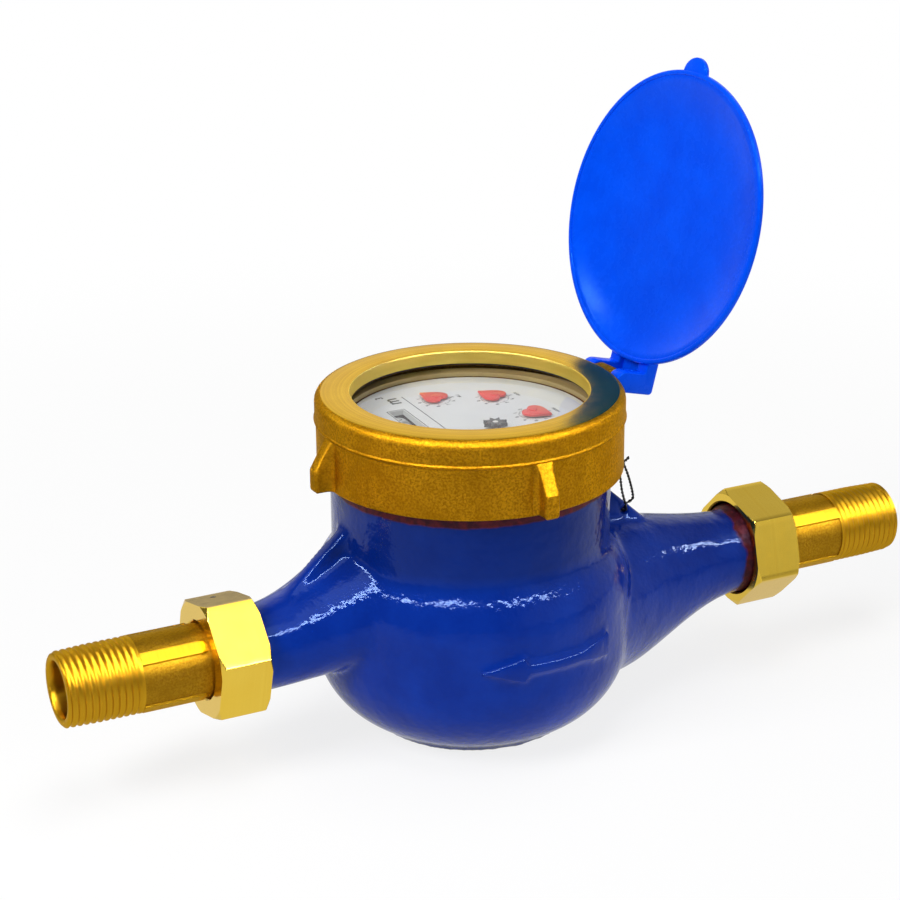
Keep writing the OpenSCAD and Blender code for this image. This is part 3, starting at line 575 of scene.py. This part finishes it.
RED = plastic("pointer_red_plastic", rgb(0.80, 0.030, 0.022), rgb(0.70, 0.022, 0.018), 0.35, 0.01)
BLACK = plastic("star_black_plastic", rgb(0.02, 0.02, 0.022), rgb(0.012, 0.012, 0.014), 0.4, 0.01)
TAN = plastic("seal_tan_rubber", rgb(0.52, 0.40, 0.20), rgb(0.45, 0.33, 0.16), 0.55, 0.03)
DARK_RUBBER = plastic("dark_rubber", rgb(0.03, 0.028, 0.026), rgb(0.02, 0.019, 0.018), 0.6, 0.03)
ACETAL = plastic("gear_acetal", rgb(0.78, 0.77, 0.73), rgb(0.72, 0.71, 0.67), 0.4, 0.015)
GREY_ABS = plastic("chamber_abs", rgb(0.30, 0.32, 0.34), rgb(0.25, 0.27, 0.29), 0.42, 0.03)
BLUE_ABS = plastic("impeller_abs", rgb(0.10, 0.22, 0.55), rgb(0.08, 0.18, 0.48), 0.4, 0.02)
STEEL = turned_metal("pin_steel", rgb(0.62, 0.62, 0.60), rgb(0.52, 0.52, 0.50), (0.25, 0.35), "Z")
PIN_BRASS = turned_metal("pin_brass", rgb(0.80, 0.62, 0.26), rgb(0.70, 0.52, 0.18), (0.25, 0.35), "Y")
WIRE = cast_metal("wire_blackened", rgb(0.10, 0.095, 0.09), rgb(0.04, 0.038, 0.036), (0.4, 0.55), 0.3)


def dress(material, *names):
    """Paints CAD nodes that stay as they are."""
    for name in names:
        mesh = nodes[name].data
        mesh.materials.clear()
        mesh.materials.append(material)


dress(TAN, "glass_seal")
dress(DARK_RUBBER, "slip_ring", "inlet_gasket", "outlet_gasket")
dress(DIAL_WHITE, "dial_plate", "drum_1", "drum_2", "drum_3", "drum_4", "drum_5")
dress(BLACK, "star_wheel", "counter_frame")
dress(NUT_BRASS, "lower_plate", "upper_plate", "plate_spacers", "dial_spacers")
dress(GREY_ABS, "measuring_chamber", "gear_box", "shaft_bush", "strainer")
dress(BLUE_ABS, "impeller")
dress(STEEL, "pivot_pin", "drum_shaft", "carry_shaft")
dress(PIN_BRASS, "hinge_pin")
dress(ACETAL, "star_arbor", "feed_arbor", "arbor_a", "arbor_b", "arbor_c", "arbor_d")
dress(ACETAL, "transfer_a", "transfer_b", "transfer_c", "carry_1", "carry_2", "carry_3", "carry_4")
SLOTS = {row["node"]: row["material_slot"] for row in frame["record"]["subparts"]}
CASING = nodes["body"]["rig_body"]
LID_BODY = nodes["lid"]["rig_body"]


# Body

cast_skin("body_skin", "body", 1.05, 5, BODY_PAINT)


def make_arrow(name, side):
    """The raised flow arrow on one side of the bowl."""
    # its half width along its length
    head = [(-19.5, 0.15), (-17, 0.9), (-14.5, 1.65), (-12, 2.4), (-10, 3.0), (-8.8, 3.3), (-8.1, 2.2)]
    shaft = [(x, 1.3) for x in (-7.4, *range(-5, 10, 2))]
    tail = [(11.2, 1.8), (13.5, 2.3), (15.5, 2.6), (17.5, 2.9), (19.3, 3.15)]
    half = head + shaft + tail
    c, s = math.cos(math.radians(ARROW_DEG)), math.sin(math.radians(ARROW_DEG))
    points = []
    for x, h in half:
        flank = [(h + 0.45, -1.5), (h + 0.45, 0.0), (h + 0.29, 0.65), (h + 0.02, 1.08)]
        flank.append((max(h - 0.42, h / 4), 1.3))
        row = [(-w, d) for w, d in flank] + flank[::-1]
        for w, d in row:
            y = -math.sqrt((BOWL_R + d) ** 2 - x * x)
            points.append((x * c - y * s, side * (x * s + y * c), AXIS_Z - 1 + w))
    obj = add_piece(name, points, skin(len(half), len(row)), CASING, BODY_PAINT, SLOTS["body"], angle=42)
    outward(obj)


make_arrow("flow_arrow_front", 1)
make_arrow("flow_arrow_back", -1)


# Cover ring

def make_ring():
    """The cover ring: cast sides with lugs and a hinge ear, a turned top, and a turned mouth whose brass is
    painted lighter to stand for the light falling on it.
    """
    bead = 0.28
    outline = rounded([
        (RING_BORE, RING_Z + 0.6, 0), (RING_BORE + 0.6, RING_Z, 0.2), (RING_R, RING_Z, 0.5),
        (RING_R, BEAD_Z - 0.75, 0.1), (RING_R + bead + 0.1, BEAD_Z - 0.35, 0.25),
        (RING_UP + bead, BEAD_Z + 0.1, 0.2), (RING_UP, BEAD_Z + 0.6, 0.2), (RING_UP, RING_TOP, 2.5),
        (MOUTH_R, RING_TOP, 0.35), (MOUTH_R, LIP_Z, 0.1), (RING_BORE, LIP_Z, 0)])
    parts = [lathe(outline[::-1], 256)]
    for turn in (0, 90, 180, 270):
        parts.append(make_lug(math.radians(turn)))
    parts.append(make_ear())
    points, faces = joined(parts)
    obj = add_piece("cover_ring_casting", points, faces, CASING, RING_BRASS, SLOTS["cover_ring"],
                    ["cover_ring"], 35)
    outward(obj)
    obj.data.materials.append(RING_TOP_BRASS)
    obj.data.materials.append(MOUTH_LIT_BRASS)
    for face in obj.data.polygons:
        c = face.center / MM
        r = math.hypot(c.x, c.y)
        if r < MOUTH_R + 0.2 and c.z > LIP_Z - 0.1:
            face.material_index = 2
        elif c.z > RING_TOP - 0.12 and r < RING_UP - 2.0:
            face.material_index = 1


def make_lug(turn):
    """A cast lug, flared where it meets the ring."""
    nose = RING_Z + 7.8
    c, s = math.cos(turn), math.sin(turn)
    # how far out, and how much wider than the lug
    stations = ((-1.5, 1.5), (0.05, 1.25), (0.35, 0.75), (0.8, 0.32), (1.5, 0.08),
                (2.6, 0), (3.7, 0), (4.5, 0), (4.85, -0.12), (5.1, -0.4))
    points = []
    for d, flare in stations:
        high = BEAD_Z if d < 0.2 else BEAD_Z + (nose - BEAD_Z) * (d - 0.2) / (LUG_REACH - 1.1)
        if d > 4.4:
            high = nose - (d - 4.4) * 1.2
        r, half, low = RING_R + d, LUG_T / 2 + flare, RING_Z + 0.4 + (0.5 if d > 4.7 else 0.0)
        ring = rounded([(-half, low, 0.7), (half, low, 0.7), (half, high, 0.9), (-half, high, 0.9)], 4)
        points += [(r * c - t * s, r * s + t * c, z) for t, z in ring]
    return points, skin(len(stations), len(ring))


def hinge_side(u, v, w):
    """(reach, height, side) beside the hinge axis to the part's frame."""
    c, s = math.cos(math.radians(HINGE_DEG)), math.sin(math.radians(HINGE_DEG))
    return (u * c - w * s, u * s + w * c, v)


def make_ear():
    """The ear of the ring that holds the hinge pin."""
    half, r = EAR_IN - 0.3, EAR_ROUND - 0.4
    arc = [(HINGE_R + r * math.cos(t), HINGE_Z + r * math.sin(t))
           for t in np.linspace(-math.pi / 2, math.pi / 2, 13)]
    outline = [(RING_BORE + 1.5, HINGE_Z - r), *arc, (RING_BORE + 1.5, HINGE_Z + r)]
    return prism(outline, -half, half, 0.5, hinge_side)


make_ring()


# Lid

def opened(u, v, w):
    """A point of the closed lid, turned to its open rest place."""
    a = math.radians(OPEN_DEG)
    dx, dz = u - HINGE_R, v - HINGE_Z
    reach, height = dx * math.cos(a) + dz * math.sin(a), HINGE_Z - dx * math.sin(a) + dz * math.cos(a)
    return hinge_side(HINGE_R + reach, height, w)


def make_lid():
    """The lid: a thin dome with a thumb tab, two knuckles and the flap that joins them."""
    steps = 48
    inner = LID_R - EDGE_W

    def dome(share):
        return RIM_Z + LID_DEPTH * (1 - share ** 4)

    crown = [(LID_R * (1 - i / steps), dome(1 - i / steps) + LID_T) for i in range(1, steps + 1)]
    crown = [(r, z) for r, z in crown if r < LID_R - 1.2]
    hollow = [(inner * i / steps, dome(i / steps)) for i in range(steps)]
    edge = rounded([(inner, RIM_Z, 0.4), (LID_R, RIM_Z, 0.6), (LID_R, RIM_Z + LID_T, 0.5),
                    (LID_R - 1.5, RIM_Z + 2.2, 0)])[:-1]
    points, faces = lathe(edge + crown + hollow, 224)
    parts = [([opened(x, z, y) for x, y, z in points], faces)]
    arc = [(HINGE_R + EAR_ROUND * math.cos(t), HINGE_Z + EAR_ROUND * math.sin(t))
           for t in np.linspace(math.pi, 2 * math.pi, 17)]
    near, far = HINGE_R - EAR_ROUND, HINGE_R + EAR_ROUND
    corner = rounded([(far, HINGE_Z + 1, 0), (far, FLAP_Z, 1.2), (FLAP_IN, FLAP_Z, 0.8),
                      (FLAP_IN, RIM_Z + LID_T, 0), (near, RIM_Z + LID_T, 0.6), (near, HINGE_Z + 1, 0)])
    knuckle = arc + corner
    for low in (EAR_IN, -PIN_HALF - 0.1):
        parts.append(prism(knuckle, low, low + PIN_HALF + 0.1 - EAR_IN, 0.45, opened))
    flap = rounded([(FLAP_IN, FLAP_Z - 2.2, 0.4), (far, FLAP_Z - 2.2, 0.4), (far, FLAP_Z, 1.2),
                    (FLAP_IN, FLAP_Z, 0.8)])
    parts.append(prism(flap, -PIN_HALF - 0.05, PIN_HALF + 0.05, 0.45, opened))
    centre = -(LID_R + 3.9 - TAB_W / 2)
    tab = []
    for t in np.linspace(math.radians(118), math.radians(242), 25):
        tab.append((centre + TAB_W / 2 * math.cos(t), TAB_W / 2 * math.sin(t)))
    tab = [(-LID_R + 0.7, tab[0][1] + 0.5), *tab, (-LID_R + 0.7, tab[-1][1] - 0.5)]
    parts.append(prism(tab, RIM_Z + 0.2, RIM_Z + 0.2 + LID_T, 0.45, lambda u, v, w: opened(u, w, v)))
    points, faces = joined(parts)
    obj = add_piece("lid_shell", points, faces, LID_BODY, LID_PLASTIC, SLOTS["lid"], ["lid"], 40)
    outward(obj)


make_lid()


# Glass

def make_glass():
    """The round glass over the dial."""
    outline = rounded([(0, GLASS_Z, 0), (GLASS_R, GLASS_Z, 0.4), (GLASS_R, GLASS_TOP, 0.4),
                       (0, GLASS_TOP, 0)])
    pane = lathe(outline, 160)
    obj = add_piece("cover_glass_pane", *pane, CASING, GLASS, SLOTS["cover_glass"], ["cover_glass"], 40)
    outward(obj)


make_glass()


# Tailpieces

def ribbed_stem(angle):
    """The radius around the stem where its four forged ribs run."""
    r = np.full(len(angle), STEM_R)
    for a in RIB_DEG:
        d = (angle - math.radians(a) + math.pi) % (2 * math.pi) - math.pi
        across = np.abs(np.sin(d)) * STEM_R
        flat = np.where(np.abs(d) < 1, (STEM_R + RIB_H) / np.maximum(np.cos(d), 0.5), 0)
        inside = np.clip((RIB_W / 2 + 0.12 - across) / 0.24, 0, 1)
        r = np.maximum(r, STEM_R + (flat - STEM_R) * inside)
    return r


def tapered_thread(u, angle, side, start, stop):
    """The radius around the thread at u along the tail, with its run-in, taper and end chamfer."""
    phase = (u / PITCH - angle / (2 * math.pi) * side) % 1.0
    tooth = np.clip(1.25 - np.abs(phase - 0.5) * 3.1, 0, 1)
    lead = np.clip((u - (start - 1.6)) / 1.8, 0, 1)
    crest = min(TAIL_R - 0.3 + (stop - u) / 32, TAIL_R)
    r = crest - RIDGE * (1 - tooth) * lead
    return np.minimum(r, TAIL_R - 1.0 + max(0.0, (stop - u)) * 1.2)


def make_tail(name, node, side):
    """A tailpiece: collar, ribbed stem and a real pipe thread, as one closed shell."""
    around = 160
    angle = np.arange(around) * 2 * math.pi / around
    collar, start, stop = GASKET_T + COLLAR_T, TAIL_OUT - THREAD_LEN, TAIL_OUT
    collar_r, chamfer, rib_start = END_R - 0.2, 0.25, NUT_OUT + 1.2

    def even(u, r):
        return u, np.full(around, r)

    rows = [even(GASKET_T, collar_r - chamfer), even(GASKET_T + chamfer, collar_r)]
    rows += [even(collar - chamfer, collar_r), even(collar, collar_r - chamfer), even(collar + 0.01, STEM_R)]
    for u in np.linspace(collar + 0.4, start - 1.7, 30):
        rows.append(even(u, STEM_R) if u < rib_start else (u, ribbed_stem(angle)))
    for u in (*np.arange(start - 1.65, stop - 0.9, PITCH / 12), *np.linspace(stop - 0.88, stop, 9)):
        rows.append((u, tapered_thread(u, angle, side, start, stop)))
    rows += [even(stop, BORE_R + 0.35), even(stop - 0.35, BORE_R)]
    rows += [even(u, BORE_R) for u in np.linspace(stop - 2, GASKET_T, 14)]
    points = []
    end = INLET_END if side > 0 else OUTLET_END
    for u, r in rows:
        points += [(end + side * u, k * math.cos(a), AXIS_Z + k * math.sin(a)) for k, a in zip(r, angle)]
    faces = skin(len(rows), around, True)
    obj = add_piece(name, points, faces, CASING, THREAD_BRASS, SLOTS[node], [node], 50)
    outward(obj)
    obj.data.materials.append(STEM_BRASS)
    for face in obj.data.polygons:
        c = face.center / MM
        u = (c.x - end) * side
        r = math.hypot(c.y, c.z - AXIS_Z)
        if collar < u < start - 1.6 and BORE_R + 1 < r < STEM_R + 0.2:
            face.material_index = 1


make_tail("inlet_tail_thread", "inlet_tailpiece", 1)
make_tail("outlet_tail_thread", "outlet_tailpiece", -1)


# Nuts

def make_nut(name, node, side, turn):
    """A hexagon nut with turned chamfers at both ends."""
    flat, corner = NUT_AF / 2, NUT_AF / math.sqrt(3)
    chamfer_in, chamfer_len = 1.6, 1.05
    slope = 1.8 / chamfer_len
    columns = []
    for i in range(6):
        columns += list(np.linspace(60 * i, 60 * i + 60, 25)[:-1])
    columns = np.radians(np.array(columns))
    around = len(columns)
    hexagon = flat / np.cos((columns % math.radians(60)) - math.radians(30))
    hexagon = np.minimum(hexagon, corner - 0.1)
    rise = [k / 10 for k in range(10)] + [chamfer_len]
    rows = []
    for u in rise + [NUT_LEN - u for u in rise[::-1]]:
        rows.append((u, np.minimum(hexagon, corner - chamfer_in + slope * min(u, NUT_LEN - u))))
    deep = NUT_LEN - NUT_OUT + GASKET_T + COLLAR_T
    bore = ((NUT_LEN, STEM_R + 0.9), (NUT_LEN - 0.4, STEM_R + 0.5), (deep, STEM_R + 0.5),
            (deep, END_R + 0.4), (0.4, END_R + 0.4), (0.0, END_R + 0.8))
    rows += [(u, np.full(around, r)) for u, r in bore]
    points = []
    end = INLET_END if side > 0 else OUTLET_END
    for u, r in rows:
        for k, a in zip(r, columns + math.radians(turn)):
            points.append((end + side * (NUT_OUT - NUT_LEN + u), k * math.sin(a), AXIS_Z - k * math.cos(a)))
    faces = skin(len(rows), around, True)
    obj = add_piece(name, points, faces, CASING, NUT_BRASS, SLOTS[node], [node], 14)
    outward(obj)


def make_seal_hole():
    """A dark disc on a flat of the outlet nut: painted shade standing in for the inside of its seal hole."""
    tilt = math.radians(OUTLET_TURN + 150)
    out, along = Vector((0, math.sin(tilt), -math.cos(tilt))), Vector((0, math.cos(tilt), math.sin(tilt)))

    def put(u, v, w):
        return Vector((OUTLET_END - 0.57 + u, 0, AXIS_Z)) + out * (NUT_AF / 2 + w) + along * (v - SEAL_HOLE)

    # painted shade: a dark disc in place of the shaded inside of the seal hole
    mouth = prism(circle(0.75, 20), -0.3, 0.03, 0.02, put)
    obj = add_piece("outlet_nut_seal_hole_shade", *mouth, CASING, DARK_RUBBER, SLOTS["outlet_gasket"])
    outward(obj)


make_seal_hole()
make_nut("inlet_nut_hexagon", "inlet_nut", 1, INLET_TURN)
make_nut("outlet_nut_hexagon", "outlet_nut", -1, OUTLET_TURN)


# Seal wire

def curve_points(key, sub):
    """A smooth curve through the key points, with sub steps between two of them."""
    out = []
    n = len(key)
    for i in range(n - 1):
        a, b, c, d = (np.array(key[j]) for j in (max(i - 1, 0), i, i + 1, min(i + 2, n - 1)))
        for j in range(sub + (1 if i == n - 2 else 0)):
            t = j / sub
            square, cube = 2 * a - 5 * b + 4 * c - d, 3 * b - a - 3 * c + d
            out.append(0.5 * (2 * b + (c - a) * t + square * t * t + cube * t ** 3))
    return np.array(out)


def make_wire():
    """The seal wire, two strands twisted, through the holes in a lug of the ring and in the inlet fin."""
    lx, lz = RING_R + 2.3, RING_Z + 4.6
    fx, fz = NECK_R + 9.5, NECK_TOP - 32.6
    lug, fin = LUG_T / 2, FIN_T / 2
    key = [(lx + 6.6, 0.6, lz - 11.6), (lx + 4.6, 0.2, lz - 12.3), (lx + 3, 1.2, lz - 9.5),
           (lx + 1, lug + 1.1, lz - 4), (lx + 0.2, lug + 1, lz - 0.6), (lx, 0, lz),
           (lx + 0.2, -lug - 1, lz - 0.6), (lx + 0.7, -lug - 1.1, lz - 6), (fx - 2, -fin - 1.2, fz + 8),
           (fx - 0.5, -fin - 1.2, fz + 2.2), (fx - 0.1, -fin - 0.3, fz + 0.3), (fx, 0, fz),
           (fx + 0.1, fin + 0.3, fz - 0.1), (fx + 0.9, fin + 1.2, fz - 0.3), (fx + 3.2, fin + 1.3, fz - 0.8),
           (fx + 5.6, fin + 0.9, fz + 0.2), (fx + 5.6, fin + 0.2, fz + 2.4), (fx + 3.4, 2, fz + 9),
           (lx + 4.4, 1.9, lz - 11.2)]
    path = curve_points(key, 14)
    tangent = np.gradient(path, axis=0)
    tangent /= np.linalg.norm(tangent, axis=1)[:, None]
    side = np.cross(tangent, np.array([0.93, 0.05, 0.36]))
    side /= np.linalg.norm(side, axis=1)[:, None]
    other = np.cross(tangent, side)
    run = np.concatenate([[0], np.cumsum(np.linalg.norm(np.diff(path, axis=0), axis=1))])
    strand, around = WIRE_D / 4, 8
    parts = []
    for phase in (0, math.pi):
        turn = 2 * math.pi * run / WIRE_LAY + phase
        line = path + strand * (side * np.cos(turn)[:, None] + other * np.sin(turn)[:, None])
        points = []
        for p, s, o in zip(line, side, other):
            for k in range(around):
                t = 2 * math.pi * k / around
                points.append(p + strand * 0.98 * (s * math.cos(t) + o * math.sin(t)))
        parts.append((points, skin(len(line), around)))
    points, faces = joined(parts)
    obj = add_piece("seal_wire_strands", points, faces, CASING, WIRE, SLOTS["seal_wire"], ["seal_wire"], 60)
    outward(obj)


make_wire()


# Dial print, pointers and drum digits

def glyphs(text, size, weight=0.0):
    """Points and faces of a line of text, in millimetres, thin and closed."""
    curve = bpy.data.curves.new("glyphs", "FONT")
    curve.body = text
    curve.size = size
    curve.offset = weight
    curve.align_x, curve.align_y = "CENTER", "CENTER"
    curve.resolution_u = 3
    curve.extrude = 0.02
    obj = bpy.data.objects.new("glyphs", curve)
    scene.collection.objects.link(obj)
    bpy.context.view_layer.update()
    mesh = bpy.data.meshes.new_from_object(obj.evaluated_get(bpy.context.evaluated_depsgraph_get()))
    points = [tuple(v.co) for v in mesh.vertices]
    faces = [tuple(f.vertices) for f in mesh.polygons]
    bpy.data.objects.remove(obj)
    bpy.data.curves.remove(curve)
    bpy.data.meshes.remove(mesh)
    return points, faces


def on_dial(part, x, y):
    """Lays text on the dial at (x, y): its top looks to -X, its line runs to +Y."""
    points, faces = part
    return [(x - v, y + u, DIAL_TOP + 0.03 + w) for u, v, w in points], faces


def bar(x0, y0, x1, y1, width):
    """A printed line on the dial."""
    d = Vector((x1 - x0, y1 - y0)).normalized() * (width / 2)
    n = Vector((-d.y, d.x))
    ring = [(x0 + n.x, y0 + n.y), (x0 - n.x, y0 - n.y), (x1 - n.x, y1 - n.y), (x1 + n.x, y1 + n.y)]
    low, high = DIAL_TOP + 0.01, DIAL_TOP + 0.05
    points = [(x, y, low) for x, y in ring] + [(x, y, high) for x, y in ring]
    faces = [(3, 2, 1, 0), (4, 5, 6, 7)] + [(i, (i + 1) % 4, 4 + (i + 1) % 4, 4 + i) for i in range(4)]
    return points, faces


def make_print():
    """Four pointer scales, the unit, a line, and the frame of the counter's window."""
    parts = []
    digits = [glyphs(str(d), 1.5) for d in range(10)]
    for name, factor in (("a", "x0.0001"), ("b", "x0.001"), ("c", "x0.01"), ("d", "x0.1")):
        px, py = POINTERS[name]
        for d in range(10):
            t = math.radians(36 * d)
            parts.append(on_dial(digits[d], px - DIGIT_R * math.cos(t), py + DIGIT_R * math.sin(t)))
            for k in range(5):
                f = t + math.radians(7.2 * k)
                vx, vy = -math.cos(f), math.sin(f)
                inner, width = (3.75, 0.1) if k else (3.5, 0.16)
                start, end = (px + inner * vx, py + inner * vy), (px + SCALE_R * vx, py + SCALE_R * vy)
                parts.append(bar(*start, *end, width))
        parts.append(on_dial(glyphs(factor, 1.35), px + FACTOR_R, py))
    parts.append(on_dial(glyphs("m", 6.2, 0.09), *UNIT_AT))
    parts.append(on_dial(glyphs("3", 3.2, 0.05), *POWER_AT))
    parts.append(bar(RULE_X, -RULE_HALF, RULE_X, RULE_HALF, 0.22))
    (left, right), (low, high) = WINDOW_X, WINDOW_Y
    for y in WINDOW_Y:
        parts.append(bar(left, y, right, y, FRAME_W))
    for x in WINDOW_X:
        parts.append(bar(x, low - FRAME_W / 2, x, high + FRAME_W / 2, FRAME_W))
    points, faces = joined(parts)
    add_piece("dial_print", points, faces, CASING, INK, SLOTS["star_wheel"], angle=30)


def heart():
    """The outline of a pointer, with its tip on +X."""
    half = [(5.6, 0.0), (4.4, 1.0), (3.2, 2.0), (1.9, 2.95), (0.5, 3.55),
            (-0.9, 3.5), (-2.0, 2.75), (-2.4, 1.7), (-2.1, 0.6)]
    ring = half + [(-1.5, 0.0)] + [(x, -y) for x, y in half[:0:-1]]
    points = curve_points([(x, y, 0) for x, y in ring + ring[:1]], 4)
    return [(p[0], p[1]) for p in points[:-1]]


def make_pointers():
    """Four red hearts with raised hubs, turned as in the photo."""
    outline, hub = heart(), circle(1.15, 24)
    top = POINTER_Z + POINTER_T
    for name, (px, py) in POINTERS.items():
        c, s = math.cos(math.radians(POINTER_DEG[name])), math.sin(math.radians(POINTER_DEG[name]))

        def put(u, v, w):
            return (px + u * c - v * s, py + u * s + v * c, w)

        shape = joined([prism(outline, POINTER_Z, top, 0.22, put),
                        prism(hub, top - 0.3, top + 0.22, 0.1, put)])
        node = "pointer_" + name
        obj = add_piece(node + "_heart", *shape, nodes[node]["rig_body"], RED, SLOTS[node], [node], 40)
        outward(obj)


def make_drum_digits():
    """The digits round each number drum, with 0 on top."""
    digits = [glyphs(str(d), 3.6) for d in range(10)]
    for i in range(1, 6):
        y0 = DRUM_END - i * DRUM_PITCH + DRUM_PITCH / 2
        parts = []
        for d, (points, faces) in enumerate(digits):
            put = []
            for u, v, w in points:
                t = v / DRUM_R - math.radians(36 * d)
                r = DRUM_R + 0.02 + w
                put.append((DRUM_X - r * math.sin(t), y0 + u, DRUM_Z + r * math.cos(t)))
            parts.append((put, faces))
        points, faces = joined(parts)
        node = "drum_%d" % i
        add_piece(node + "_digits", points, faces, nodes[node]["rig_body"], INK, SLOTS["star_wheel"], angle=30)


make_print()
make_pointers()
make_drum_digits()
